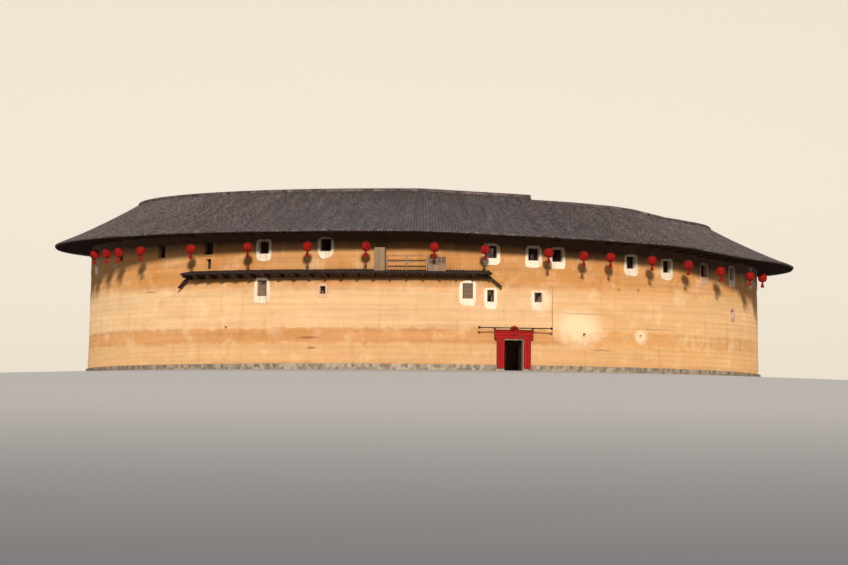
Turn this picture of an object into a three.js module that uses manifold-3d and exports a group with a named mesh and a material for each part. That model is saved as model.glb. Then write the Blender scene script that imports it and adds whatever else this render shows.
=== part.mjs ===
// Rammed-earth ring house of four storeys round an open courtyard, as a 1:2 scale model.
// Units are millimetres, +Z up. The origin is the ring's centre on the ground, and the gate faces -Y.
// Every size below is the full-size building's, in metres: metres() turns it into model millimetres.
// Angles are degrees round the ring, 0 at the gate and growing towards +X.

import * as THREE from 'three';
import { mergeVertices } from 'three/addons/utils/BufferGeometryUtils.js';
import Module from 'manifold-3d';

const wasm = await Module();
wasm.setup();

const SCALE = 0.5;
const metres = (length) => length * 1000 * SCALE;
const radians = (degrees) => degrees * Math.PI / 180;

// Clearances, full size: a seat between touching pieces, and room round what moves. Pieces that follow each
// other round the ring stop a few thousandths of a degree short of their joint.
const SEAT = 0.0006;
const RUNNING = 0.013;
const JOINT_ANGLE = 0.002;

// How far cutting tools reach past what they cut
const PAST = 1;
const FAR_ABOVE = 20;

// The ring. Masonry and roof turn in fine facets; the timber runs straight from post to post.
const FACETS = 72;
const WALL_OUTER = 30.0;
const WALL_INNER = 28.4;
const WALL_BATTER = 0.028;
const PLINTH_HEIGHT = 0.6;
const PLINTH_STEP = 0.12;

// Storeys. The floors step down to the building's right in sections, each with a storey pitch of its own.
const STOREYS = 4;
const HIGH_PITCH = 2.9;
const MIDDLE_PITCH = 2.75;
const LOW_PITCH = 2.625;
const TIMBER_SECTIONS = [
  { from: 5, to: 35, pitch: MIDDLE_PITCH },
  { from: 35, to: 125, pitch: LOW_PITCH },
  { from: 125, to: 155, pitch: MIDDLE_PITCH },
  { from: 155, to: 365, pitch: HIGH_PITCH },
];

// The roof: two slopes that sag slightly over the whole depth of the ring, and a course of tiles on the ridge
const RIDGE_RADIUS = 25.5;
const EAVE_RADIUS = 33.0;
const COURT_EAVE_RADIUS = 18.6;
const RIDGE_HEIGHT = 15.2;
const ROOF_SLOPE = 0.583;
const ROOF_SAG = 0.012;
const ROOF_DEPTH = 0.35;
const ROOF_BREAKS = 3;
const RIDGE_COURSE = 0.22;

// How far the roof has sunk at an angle. It sinks towards the building's right, with one step at each end of
// the low part, closed by a board. The angles fall on the facets' corners. The low part's outer slope is
// flatter, so that the step nearly closes at the eave.
const ROOF_STEP = { front: 6, rear: 154 };
const STEP_BOARD = 0.2;
const STEP_BOARD_SHORT = 0.02;
const LOW_EAVE_LIFT = 0.35;
const HIGH_ROOF_DROP = [[155, 0.35], [165, 0.2], [175, 0], [345, 0], [355, 0.2], [365, 0.35], [370, 0.43]];
const LOW_ROOF_DROP = [[5, 0.75], [15, 0.85], [25, 1.0], [30, 1.15], [35, 1.4], [40, 1.6], [50, 1.7],
  [110, 1.7], [120, 1.6], [125, 1.4], [130, 1.15], [135, 1.0], [145, 0.85], [155, 0.75]];

// Timber storeys: floors, room fronts, and the galleries on the courtyard side
const FLOOR_DEPTH = 0.22;
const ROOM_FRONT_INNER = 22.7;
const ROOM_FRONT_DEPTH = 0.12;
const POST_OUTER = 20.86;
const POST_SIZE = 0.22;
const BAYS = 36;
const BAY = 360 / BAYS;
const DOOR_WIDTH = 0.95;
const DOOR_HEIGHT = 1.95;
const PASSAGE_WIDTH = 2.9;
const PASSAGE_HEIGHT = 2.55;
const RAIL_HEIGHT = 0.95;

// The gate
const GATE_WIDTH = 2.2;
const GATE_HEIGHT = 3.0;
const GATE_BAY = { from: -6, to: 5.79 };
const GATE_CLEAR_WIDTH = 1.6;
const GATE_CLEAR_HEIGHT = 2.65;
const GATE_FRONT = 30.12;
const GATE_BACK = 29.6;
const SILL_HEIGHT = 0.12;
const PIVOT_SLAB = { half: 0.98, depth: 0.25, height: 0.03 };
const HEADER_BOTTOM = 2.8;
const LEAF_DEPTH = 0.08;
const LEAF_PIVOT = 0.84;
const LEAF_SETBACK = 0.07;
const LEAF_BOTTOM = 0.06;
const LEAF_TOP = 2.72;
const LEAF_PIN = 0.04;

// Red boards round the gate, and the pole over it
const BOARD_DEPTH = 0.09;
const BOARD_ROOT = WALL_OUTER - 0.3;
const LINTEL_BOARD = { half: 1.65, bottom: 2.75, top: 3.5 };
const SIDE_BOARD = { inner: 0.83, outer: 1.45, bottom: 0.3, top: 2.9 };
const ROSETTE = { front: 0.3, back: 0.42, depth: 0.2, height: 3.45 };
const POLE = { height: 3.64, radius: 30.62, half: 3.1, size: 0.045 };
const KNOB = { size: 0.11, length: 0.16 };
const POLE_BRACKET = { across: 1.62, half: 0.05, above: 0.03, below: 0.06, past: 0.03, root: 29 };

// Outside the wall: a narrow waist roof, the lookout on it, and the lanterns under the eave
const WAIST = { from: -55.9, to: -3.9 };
const WAIST_ROOT = WALL_OUTER - 0.6;
const WAIST_REACH = 31.05;
const WAIST_ROOT_Z = 8.46;
const WAIST_EDGE_Z = 8.16;
const WAIST_DEPTH = 0.12;
const WAIST_ROOT_EXTRA = 0.1;
const WAIST_BRACKETS = { spaces: 20, end: 0.4, width: 0.14, back: 0.12, bottom: 7.72, top: 8.06 };
const WAIST_STRUT = { width: 0.12, depth: 0.5, length: 1.5, slant: 52, inward: 0.35, height: 7.5 };
const WAIST_STRUT_RADIUS = WALL_OUTER + 0.1;
const LOOKOUT_LEFT = { angle: -21.3, width: 0.87, reach: 30.65, top: 10.2 };
const LOOKOUT_RIGHT = { angle: -12.4, width: 1.5, reach: 30.75, top: 9.45 };
const LOOKOUT_FOOT = 7.9;
const LOOKOUT_RAILS = { from: -20.2, to: -13.95, inner: 30.5, outer: 30.58, size: 0.08 };
const LOOKOUT_RAIL_HEIGHTS = [9.0, 9.5];
const LOOKOUT_POSTS = { angles: [-20.1, -17.1, -14.05], width: 0.09, inner: 30.49, outer: 30.59, top: 9.56 };
const LANTERN_RADIUS = 31.8;
const LANTERN_RAIL = 0.08;
const LANTERN_DROP = 1.4;
const LANTERN_SIZE = 0.4;
const LANTERN_HALF = 0.36;
const LANTERN_SHOULDER = 0.14;
const TASSEL = { width: 0.07, end: 0.85 };
const CORD = 0.03;
const LANTERN_ANGLES = [-77.9, -73.4, -69.6, -63.6, -52.4, -41.9, -32.1, -23.1, -12.9, -5.3, 4.5,
  10.2, 14.8, 22.5, 30.1, 38.2, 47.6, 53.1];

// Holes in the wall: the angle and the height of their centres. Round the back they repeat evenly,
// at one height above the floor.
const TOP_WINDOW = { width: 0.95, height: 1.05 };
const TOP_WINDOWS = [[-76.6, 10.2], [-63.2, 10.25], [-52.1, 10.35], [-41.2, 10.3], [-30.4, 10.45],
  [-3.6, 9.95], [3.4, 9.82], [7.5, 9.77], [21.4, 9.42], [29.3, 9.23], [39.2, 9.1], [49.1, 9.05]];
const REAR_TOP_WINDOWS = { from: 60, to: 270, step: 10, above: 1.3 };
const MIDDLE_WINDOWS = [
  { angle: -52.1, width: 0.6, height: 0.85, centre: 9.02 },
  { angle: -41.4, width: 0.95, height: 1.35, centre: 6.89 },
  { angle: -30.8, width: 0.5, height: 0.65, centre: 6.7 },
  { angle: -7.4, width: 0.9, height: 1.3, centre: 6.68 },
  { angle: -3.7, width: 0.6, height: 1.0, centre: 6.3 },
  { angle: 4.2, width: 0.7, height: 0.8, centre: 6.25 },
  { angle: 49.1, width: 0.6, height: 0.6, centre: 5.6 },
];
const REAR_MIDDLE_WINDOWS = { from: 80, to: 240, step: 40, above: 0.75 };
const REAR_MIDDLE_WINDOW = { width: 0.7, height: 0.9 };
const VENT = { width: 0.3, height: 0.3 };
const VENTS = [[-48.2, 3.6], [12.3, 3.2], [23.3, 3.2], [100, 3.1], [170, 3.35], [230, 3.35], [270, 3.35]];

// Finishes
const finish = (color, roughness, metalness = 0) =>
  new THREE.MeshStandardMaterial({ color, roughness, metalness });
const EARTH = () => finish(0xeeae68, 0.95);
const COBBLE = () => finish(0x8d8478, 0.9);
const STONE = () => finish(0xa39a8b, 0.8);
const ROOF_TILE = () => finish(0x665956, 0.9);
const TIMBER = () => finish(0x6d4a31, 0.8);
const DARK_TIMBER = () => finish(0x3a2a20, 0.85);
const WEATHERED_TIMBER = () => finish(0x9b8672, 0.85);
const RED_PAINT = () => finish(0xb02e25, 0.6);
const LANTERN_CLOTH = () => finish(0xb3271c, 0.7);

// Turns a closed three.js geometry into a solid whose faces point outwards.
function solidOf(geometry) {
  const bare = geometry.clone();
  bare.deleteAttribute('normal');
  bare.deleteAttribute('uv');
  const merged = mergeVertices(bare, 0.01);
  const vertProperties = new Float32Array(merged.attributes.position.array);
  const triVerts = closedTriangles(merged.index.array);
  if (enclosedVolume(vertProperties, triVerts) < 0) {
    triVerts.reverse();
  }
  return new wasm.Manifold(new wasm.Mesh({ numProp: 3, vertProperties, triVerts }));
}

// Leaves out the triangles that merging has folded to a line.
function closedTriangles(index) {
  const kept = [];
  for (let i = 0; i < index.length; i += 3) {
    const [a, b, c] = [index[i], index[i + 1], index[i + 2]];
    if (a !== b && b !== c && c !== a) {
      kept.push(a, b, c);
    }
  }
  return new Uint32Array(kept);
}

function enclosedVolume(vertices, triangles) {
  const corner = (n) => new THREE.Vector3().fromArray(vertices, 3 * triangles[n]);
  let volume = 0;
  for (let i = 0; i < triangles.length; i += 3) {
    volume += corner(i).dot(corner(i + 1).cross(corner(i + 2))) / 6;
  }
  return volume;
}

function geometryOf(solid) {
  const mesh = solid.getMesh();
  const geometry = new THREE.BufferGeometry();
  geometry.setAttribute('position', new THREE.BufferAttribute(new Float32Array(mesh.vertProperties), 3));
  geometry.setIndex(new THREE.BufferAttribute(new Uint32Array(mesh.triVerts), 1));
  geometry.computeVertexNormals();
  return geometry;
}

const joined = (solids) => solids.reduce((all, solid) => all.add(solid));
const without = (solid, cutters) => cutters.reduce((rest, cutter) => rest.subtract(cutter), solid);

// A ring turned about the centre from an outline of [radius, height] points in metres, lowered by the
// amount that sink gives for each corner's angle and radius.
function ring(outline, facets = FACETS, firstCorner = 0, sink = null) {
  const points = [...outline, outline[0]].map(([radius, height]) =>
    new THREE.Vector2(metres(radius), metres(height)));
  const geometry = new THREE.LatheGeometry(points, facets, radians(firstCorner));
  geometry.rotateX(Math.PI / 2);
  if (sink) {
    const place = geometry.attributes.position;
    for (let i = 0; i < place.count; i += 1) {
      const [x, y] = [place.getX(i), place.getY(i)];
      const angle = Math.atan2(x, -y) * 180 / Math.PI;
      place.setZ(i, place.getZ(i) - metres(sink(angle, Math.hypot(x, y) / metres(1))));
    }
  }
  return solidOf(geometry);
}

// Straight lines between the points of a list of [angle, value], and level beyond its ends.
function between(list, angle) {
  const next = list.findIndex(([knot]) => knot >= angle);
  if (next <= 0) {
    return next === 0 ? list[0][1] : list[list.length - 1][1];
  }
  const [[a, low], [b, high]] = [list[next - 1], list[next]];
  return low + (high - low) * (angle - a) / (b - a);
}

// How far the high and the low part of the roof have sunk at any angle round the ring, and at a radius. The
// low part's lift grows evenly from the ridge to the outer eave.
const middleOfLow = (ROOF_STEP.front + ROOF_STEP.rear) / 2;
const outside = (radius) => Math.max(0, radius - RIDGE_RADIUS) / (EAVE_RADIUS - RIDGE_RADIUS);
const highDrop = (angle) => between(HIGH_ROOF_DROP, ((angle - middleOfLow + 720) % 360) + middleOfLow);
const lowDrop = (angle, radius = RIDGE_RADIUS) =>
  between(LOW_ROOF_DROP, ((angle - middleOfLow + 900) % 360) + middleOfLow - 180)
    - LOW_EAVE_LIFT * outside(radius);
const isLow = (angle) => Math.abs(((angle - middleOfLow + 900) % 360) - 180) < middleOfLow - ROOF_STEP.front;
const dropAt = (angle, radius) => (isLow(angle) ? lowDrop(angle, radius) : highDrop(angle));

// A timber ring has one straight side for each bay, with its corners at the posts.
const bayRing = (outline) => ring(outline, BAYS, BAY / 2);

// A wedge of the whole plan between two angles, far past the eaves.
function wedge(from, to) {
  const reach = 2 * EAVE_RADIUS;
  const steps = Math.max(2, Math.ceil((to - from) / 20));
  const shape = new THREE.Shape();
  shape.moveTo(0, 0);
  for (let i = 0; i <= steps; i += 1) {
    const angle = radians(from + (to - from) * i / steps);
    shape.lineTo(metres(reach * Math.sin(angle)), metres(-reach * Math.cos(angle)));
  }
  const height = metres(40);
  const geometry = new THREE.ExtrudeGeometry(shape, { depth: height, bevelEnabled: false });
  geometry.translate(0, 0, -height / 4);
  return solidOf(geometry);
}

const arc = (outline, from, to, sink = null) => ring(outline, FACETS, 0, sink).intersect(wedge(from, to));
const bayArc = (outline, from, to) => bayRing(outline).intersect(wedge(from, to));

const rectangle = (inner, outer, bottom, top) =>
  [[inner, bottom], [outer, bottom], [outer, top], [inner, top]];

// A box between two corners, in metres.
function box(low, high) {
  const size = high.map((value, i) => metres(value - low[i]));
  const geometry = new THREE.BoxGeometry(...size);
  geometry.translate(...high.map((value, i) => metres((value + low[i]) / 2)));
  return solidOf(geometry);
}

// A box given along the ring: across is its width, radius and z its extents, turned to the angle.
function ringBox(angle, across, innerRadius, outerRadius, bottom, top) {
  const sizes = [across, outerRadius - innerRadius, top - bottom].map(metres);
  const geometry = new THREE.BoxGeometry(...sizes);
  geometry.translate(0, -metres((innerRadius + outerRadius) / 2), metres((bottom + top) / 2));
  geometry.rotateZ(radians(angle));
  return solidOf(geometry);
}

// The height of the roof's upper face over a radius where it hasn't sunk, followed in straight stretches.
function roofTop(radius) {
  const reach = radius > RIDGE_RADIUS ? EAVE_RADIUS - RIDGE_RADIUS : RIDGE_RADIUS - COURT_EAVE_RADIUS;
  const curve = (away) => RIDGE_HEIGHT - ROOF_SLOPE * away + ROOF_SAG * away * away;
  const stretch = reach / ROOF_BREAKS;
  const distance = Math.abs(radius - RIDGE_RADIUS);
  const start = Math.min(Math.floor(distance / stretch + 1e-6), ROOF_BREAKS - 1) * stretch;
  const share = (distance - start) / stretch;
  return curve(start) * (1 - share) + curve(start + stretch) * share;
}

const roofUnder = (radius) => roofTop(radius) - ROOF_DEPTH;

// How high a straight timber ring can go under the roof: the middle of a bay lies nearest the court.
const lowestUnderRoof = (radius) => roofUnder(radius * Math.cos(radians(BAY / 2)));

// The most that the roof has sunk over one bay, also just inside its corners, where the roof's step can lie
function bayDrop(bay) {
  const half = BAY / 2;
  const turns = [-half, 1.1 - half, 0, half - 1.1, half];
  return Math.max(...turns.map((turn) => dropAt(BAY * bay + turn)));
}

// The radii where the roof changes slope, from the courtyard eave to the outer eave.
function roofRadii() {
  const radii = [];
  for (let i = ROOF_BREAKS; i > 0; i -= 1) {
    radii.push(RIDGE_RADIUS - (RIDGE_RADIUS - COURT_EAVE_RADIUS) * i / ROOF_BREAKS);
  }
  for (let i = 0; i <= ROOF_BREAKS; i += 1) {
    radii.push(RIDGE_RADIUS + (EAVE_RADIUS - RIDGE_RADIUS) * i / ROOF_BREAKS);
  }
  return radii;
}

function roofOutline(depthAt = () => ROOF_DEPTH) {
  const radii = roofRadii();
  const lower = radii.map((radius) => [radius, roofTop(radius) - depthAt(radius)]);
  const half = RIDGE_COURSE / 2;
  const upper = radii.filter((radius) => Math.abs(radius - RIDGE_RADIUS) > half)
    .map((radius) => [radius, roofTop(radius)]);
  const split = ROOF_BREAKS;
  const course = [
    [RIDGE_RADIUS - half, roofTop(RIDGE_RADIUS - half)],
    [RIDGE_RADIUS - half, RIDGE_HEIGHT + RIDGE_COURSE],
    [RIDGE_RADIUS + half, RIDGE_HEIGHT + RIDGE_COURSE],
    [RIDGE_RADIUS + half, roofTop(RIDGE_RADIUS + half)],
  ];
  return [...lower, ...[...upper.slice(0, split), ...course, ...upper.slice(split)].reverse()];
}

// The space over the roof's underside between two radii of one straight stretch, less a seat's clearance
function roofSpace(inner, outer) {
  const top = RIDGE_HEIGHT + 2;
  const outline = [
    [inner, roofUnder(inner) - SEAT],
    [outer, roofUnder(outer) - SEAT],
    [outer, top],
    [inner, top],
  ];
  return {
    high: arc(outline, ROOF_STEP.rear, ROOF_STEP.front + 360, highDrop),
    low: arc(outline, ROOF_STEP.front - PAST, ROOF_STEP.rear + PAST, lowDrop),
  };
}

// The earth wall leans in slightly on its outer face.
const wallFace = (z) => WALL_OUTER - WALL_BATTER * z;

function wallOutline(bottom) {
  const top = RIDGE_HEIGHT - 1;
  return [
    [WALL_INNER, bottom],
    [wallFace(bottom), bottom],
    [wallFace(top), top],
    [WALL_INNER, top],
  ];
}

// Every window hole as a radial box through the wall.
function windowHoles() {
  const inner = WALL_INNER - PAST;
  const outer = WALL_OUTER + PAST;
  const hole = (angle, centre, { width, height }) =>
    ({ angle, solid: ringBox(angle, width, inner, outer, centre - height / 2, centre + height / 2) });
  const holes = TOP_WINDOWS.map(([angle, centre]) => hole(angle, centre, TOP_WINDOW));
  MIDDLE_WINDOWS.forEach((window) => holes.push(hole(window.angle, window.centre, window)));
  VENTS.forEach(([angle, centre]) => holes.push(hole(angle, centre, VENT)));
  const evenly = ({ from, to, step, above }, storey, size) => {
    for (let angle = from; angle <= to; angle += step) {
      holes.push(hole(angle, storey * pitchAt(angle) + above, size));
    }
  };
  evenly(REAR_TOP_WINDOWS, 3, TOP_WINDOW);
  evenly(REAR_MIDDLE_WINDOWS, 2, REAR_MIDDLE_WINDOW);
  return holes;
}

function pitchAt(angle) {
  const turned = angle < TIMBER_SECTIONS[0].from ? angle + 360 : angle;
  return TIMBER_SECTIONS.find(({ from, to }) => turned >= from && turned < to).pitch;
}

const model = new THREE.Group();

function addNode(name, solid, material) {
  const mesh = new THREE.Mesh(geometryOf(solid), material);
  mesh.name = name;
  model.add(mesh);
}

// Plinth of river cobbles, in four quarters that stop at the gate
function addPlinth() {
  const outline = rectangle(WALL_INNER, WALL_OUTER + PLINTH_STEP, 0, PLINTH_HEIGHT);
  const half = GATE_WIDTH / 2;
  const gateGap = box([-half, -WALL_OUTER - PAST, -PAST], [half, PAST - WALL_INNER, PLINTH_HEIGHT + PAST]);
  const quarters = ['plinth_front_right', 'plinth_back_right', 'plinth_back_left', 'plinth_front_left'];
  quarters.forEach((name, i) => {
    const start = 90 * i;
    const quarter = arc(outline, start + JOINT_ANGLE, start + 90 - JOINT_ANGLE);
    addNode(name, quarter.subtract(gateGap), COBBLE());
  });
}

// Rammed-earth wall on the plinth, in segments, with its windows and the gate cut through
function addEarthWall() {
  const holes = windowHoles();
  const roof = roofSpace(RIDGE_RADIUS + (EAVE_RADIUS - RIDGE_RADIUS) / ROOF_BREAKS,
    RIDGE_RADIUS + 2 * (EAVE_RADIUS - RIDGE_RADIUS) / ROOF_BREAKS);
  const highFrom = ROOF_STEP.rear + STEP_BOARD + 0.01;
  const segments = [
    ['wall_front_right', GATE_BAY.to, 35, roof.low],
    ['wall_right', 35, 80, roof.low],
    ['wall_right_rear', 80, 125, roof.low],
    ['wall_back_right', 125, highFrom, roof.low],
    ['wall_back', highFrom, 204, roof.high],
    ['wall_back_left', 204, 254, roof.high],
    ['wall_left', 254, 304, roof.high],
    ['wall_front_left', 304, 360 + GATE_BAY.from, roof.high],
  ];
  const bottom = PLINTH_HEIGHT + SEAT;
  segments.forEach(([name, from, to, space]) => {
    const plain = arc(wallOutline(bottom), from + JOINT_ANGLE / 2, to - JOINT_ANGLE / 2).subtract(space);
    const cuts = holes.filter(({ angle }) => {
      const turned = angle < GATE_BAY.to ? angle + 360 : angle;
      return turned > from && turned < to;
    });
    addNode(name, without(plain, cuts.map(({ solid }) => solid)), EARTH());
  });
  const bay = arc(wallOutline(bottom), GATE_BAY.from, GATE_BAY.to - JOINT_ANGLE / 2).subtract(roof.high);
  const bayHoles = holes.filter(({ angle }) => angle > GATE_BAY.from && angle < GATE_BAY.to)
    .map(({ solid }) => solid);
  const half = GATE_WIDTH / 2;
  const bayReach = 9;
  const deep = [-WALL_OUTER - 2 * PAST, 2 * PAST - WALL_INNER];
  const above = box([-bayReach, deep[0], GATE_HEIGHT + SEAT], [bayReach, deep[1], FAR_ABOVE]);
  const left = box([-bayReach, deep[0], 0], [-half - SEAT, deep[1], GATE_HEIGHT]);
  const right = box([half + SEAT, deep[0], 0], [bayReach, deep[1], GATE_HEIGHT]);
  addNode('wall_over_gate', without(bay.intersect(above), bayHoles), EARTH());
  addNode('wall_gate_left', bay.intersect(left), EARTH());
  addNode('wall_gate_right', bay.intersect(right), EARTH());
}

// Timber floors of the three upper storeys, with a trimmer beam where the level steps
function addFloors() {
  const inner = POST_OUTER + SEAT;
  const outer = WALL_INNER - SEAT;
  const halfTrimmer = 0.3;
  ['floor_second_storey', 'floor_third_storey', 'floor_fourth_storey'].forEach((name, i) => {
    const storey = i + 1;
    const parts = TIMBER_SECTIONS.map(({ from, to, pitch }) =>
      bayArc(rectangle(inner, outer, storey * pitch - FLOOR_DEPTH, storey * pitch), from, to));
    TIMBER_SECTIONS.forEach(({ from, pitch }, n) => {
      const before = TIMBER_SECTIONS[(n + 3) % 4].pitch;
      const low = storey * Math.min(pitch, before) - FLOOR_DEPTH;
      const high = storey * Math.max(pitch, before);
      parts.push(bayArc(rectangle(inner, outer, low, high), from - halfTrimmer, from + halfTrimmer));
    });
    addNode(name, joined(parts), TIMBER());
  });
}

// Plank fronts of the rooms, one ring for each storey, with a doorway in the middle of each bay
function addRoomFronts() {
  const inner = ROOM_FRONT_INNER;
  const outer = inner + ROOM_FRONT_DEPTH;
  const bottomOf = (pitch, storey) => (storey === 0 ? 0 : storey * pitch + SEAT);
  const topOf = (pitch, storey) => (storey + 1) * pitch - FLOOR_DEPTH - SEAT;
  const trimmerRoom = 0.35;
  const bridge = 0.6;
  ['ground', 'second', 'third', 'fourth'].forEach((label, storey) => {
    const isTop = storey === STOREYS - 1;
    const highest = lowestUnderRoof(inner) - SEAT;
    const parts = TIMBER_SECTIONS.map(({ from, to, pitch }) => {
      const low = bottomOf(pitch, storey);
      const top = isTop ? highest : topOf(pitch, storey);
      return bayArc(rectangle(inner, outer, low, top), from + trimmerRoom, to - trimmerRoom);
    });
    TIMBER_SECTIONS.forEach(({ from, pitch }, n) => {
      const before = TIMBER_SECTIONS[(n + 3) % 4].pitch;
      const low = bottomOf(Math.max(pitch, before), storey);
      const high = topOf(Math.min(pitch, before), storey);
      parts.push(bayArc(rectangle(inner, outer, low, high), from - bridge, from + bridge));
    });
    const doors = [];
    for (let bay = 0; bay < BAYS; bay += 1) {
      const angle = bay * BAY;
      if (isTop && bayDrop(bay) > 0) {
        const over = rectangle(inner - 0.5, outer + 0.5, highest - bayDrop(bay), RIDGE_HEIGHT);
        doors.push(bayArc(over, angle - BAY / 2 - 0.4, angle + BAY / 2 + 0.4));
      }
      const sill = bottomOf(pitchAt(angle), storey);
      const isPassage = bay === 0 && storey === 0;
      const width = isPassage ? PASSAGE_WIDTH : DOOR_WIDTH;
      const height = isPassage ? PASSAGE_HEIGHT : DOOR_HEIGHT;
      doors.push(ringBox(angle, width, inner - 0.5, outer + 0.5, sill - 0.1, sill + height));
    }
    addNode(`room_front_${label}`, without(joined(parts), doors), TIMBER());
  });
}

// Gallery frames on the courtyard side: posts, plank parapets that hide the floors' edges, and the eave beam
function addGalleryFrames() {
  const beamInner = POST_OUTER - 0.12;
  const edge = (z) => rectangle(beamInner, POST_OUTER, z - FLOOR_DEPTH - 0.06, z + RAIL_HEIGHT);
  const rings = TIMBER_SECTIONS.map(({ from, to, pitch }) =>
    joined([1, 2, 3].map((storey) => bayRing(edge(storey * pitch)))).intersect(wedge(from, to)));
  const postInner = POST_OUTER - 0.02 - POST_SIZE;
  const postHalf = 0.4;
  const beamDepth = 0.24;
  const beamLap = 0.1;
  const posts = [];
  for (let bay = 0; bay < BAYS; bay += 1) {
    const angle = (bay + 0.5) * BAY;
    const sunk = Math.max(dropAt(angle - postHalf), dropAt(angle + postHalf));
    const postTop = roofUnder(postInner) - SEAT - sunk;
    posts.push(ringBox(angle, POST_SIZE, postInner, postInner + POST_SIZE, 0, postTop));
    const beamTop = lowestUnderRoof(beamInner) - SEAT - bayDrop(bay);
    const beam = rectangle(beamInner, POST_OUTER, beamTop - beamDepth, beamTop);
    posts.push(bayArc(beam, angle - BAY - beamLap, angle + beamLap));
  }
  const whole = joined([...rings, ...posts]);
  const quarters = ['gallery_front_right', 'gallery_back_right', 'gallery_back_left', 'gallery_front_left'];
  quarters.forEach((name, i) => {
    const quarter = wedge(90 * i + JOINT_ANGLE, 90 * (i + 1) - JOINT_ANGLE);
    addNode(name, whole.intersect(quarter), TIMBER());
  });
}

// Tiled roof: four stretches of the low part and four of the high part. At each step a board under the high
// part reaches down nearly to the low part's underside, clear of the wall.
function addRoof() {
  const { front, rear } = ROOF_STEP;
  const quarter = (front + 360 - rear) / 4;
  const gap = JOINT_ANGLE / 2;
  const lowStretches = [
    ['roof_front_right', front, 40],
    ['roof_right', 40, 80],
    ['roof_right_rear', 80, 120],
    ['roof_back_right', 120, rear],
  ];
  lowStretches.forEach(([name, from, to]) => {
    addNode(name, arc(roofOutline(), from + gap, to - gap, lowDrop), ROOF_TILE());
  });
  const board = (from) => {
    const depthAt = (radius) => ROOF_DEPTH + lowDrop(from, radius) - highDrop(from) - STEP_BOARD_SHORT;
    return arc(roofOutline(depthAt), from, from + STEP_BOARD, highDrop);
  };
  ['roof_back', 'roof_back_left', 'roof_left', 'roof_front'].forEach((name, i) => {
    const from = rear + quarter * i + gap;
    const to = rear + quarter * (i + 1) - gap;
    const stretch = arc(roofOutline(), from, to, highDrop);
    const ends = { roof_back: [board(from)], roof_front: [board(to - STEP_BOARD)] }[name] ?? [];
    addNode(name, joined([stretch, ...ends]), ROOF_TILE());
  });
}

// A full ring that holds the earth wall and the plinth with a seat's clearance, to fit things on it
const wallEnvelope = () => ring([
  [WALL_INNER, PLINTH_HEIGHT + SEAT],
  [wallFace(PLINTH_HEIGHT) + SEAT, PLINTH_HEIGHT + SEAT],
  [wallFace(FAR_ABOVE) + SEAT, FAR_ABOVE],
  [WALL_INNER, FAR_ABOVE],
]).add(ring(rectangle(WALL_INNER, WALL_OUTER + PLINTH_STEP + SEAT, -PAST, PLINTH_HEIGHT + 2 * SEAT)));

function gateFrame() {
  const half = GATE_WIDTH / 2 - SEAT;
  const block = box([-half, -GATE_FRONT, 0], [half, -GATE_BACK, GATE_HEIGHT - SEAT]);
  const clear = box([-GATE_CLEAR_WIDTH / 2, -GATE_FRONT - PAST, -PAST],
    [GATE_CLEAR_WIDTH / 2, PAST - GATE_BACK, GATE_CLEAR_HEIGHT]);
  return block.subtract(clear);
}

// Sill between the jambs, with a low slab behind that carries the leaves' pivots
function gateThreshold() {
  const half = GATE_CLEAR_WIDTH / 2 - SEAT;
  const slabBack = PIVOT_SLAB.depth - GATE_BACK;
  return joined([
    box([-half, -GATE_FRONT, 0], [half, -GATE_BACK, SILL_HEIGHT]),
    box([-half, -GATE_BACK - 0.1, 0], [half, slabBack, PIVOT_SLAB.height]),
    box([-PIVOT_SLAB.half, SEAT - GATE_BACK, 0], [PIVOT_SLAB.half, slabBack, PIVOT_SLAB.height]),
  ]);
}

// Timber lintel planks over the passage, behind the stone frame
function gateHeader() {
  const half = GATE_WIDTH / 2 - SEAT;
  return box([-half, SEAT - GATE_BACK, HEADER_BOTTOM], [half, -WALL_INNER, GATE_HEIGHT - SEAT]);
}

// One plank leaf in its open place, turned in against the passage; side is -1 or 1
function gateLeaf(side) {
  const pivotX = side * LEAF_PIVOT;
  const pivotY = LEAF_SETBACK - GATE_BACK;
  const reach = LEAF_PIVOT - RUNNING / 2;
  const half = LEAF_DEPTH / 2;
  const plank = box([pivotX - half, pivotY - half, LEAF_BOTTOM], [pivotX + half, pivotY + reach, LEAF_TOP]);
  const pinTop = HEADER_BOTTOM - SEAT;
  const pinBottom = PIVOT_SLAB.height + SEAT;
  const pinGeometry = new THREE.CylinderGeometry(metres(LEAF_PIN), metres(LEAF_PIN),
    metres(pinTop - pinBottom), 12);
  pinGeometry.rotateX(Math.PI / 2);
  pinGeometry.translate(metres(pivotX), metres(pivotY), metres((pinTop + pinBottom) / 2));
  return plank.add(solidOf(pinGeometry));
}

// Red boards round the gate, with a rosette at the middle of the lintel board
function gateSurround(envelope) {
  const front = -GATE_FRONT - BOARD_DEPTH;
  const { half, bottom, top } = LINTEL_BOARD;
  const sideBoard = (side) => {
    const across = [side * SIDE_BOARD.inner, side * SIDE_BOARD.outer].sort((a, b) => a - b);
    return box([across[0], front, SIDE_BOARD.bottom], [across[1], -BOARD_ROOT, SIDE_BOARD.top]);
  };
  const boards = joined([box([-half, front, bottom], [half, -BOARD_ROOT, top]), sideBoard(-1), sideBoard(1)]);
  const sizes = [ROSETTE.front, ROSETTE.back, ROSETTE.depth].map(metres);
  const rosette = new THREE.CylinderGeometry(...sizes, 16);
  rosette.translate(0, metres(front - ROSETTE.depth / 4), metres(ROSETTE.height));
  const frameHalf = GATE_WIDTH / 2;
  const frameRoom = box([-frameHalf, -GATE_FRONT - SEAT, -PAST], [frameHalf, PAST - GATE_BACK, GATE_HEIGHT]);
  return without(boards.add(solidOf(rosette)), [envelope, frameRoom]);
}

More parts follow.
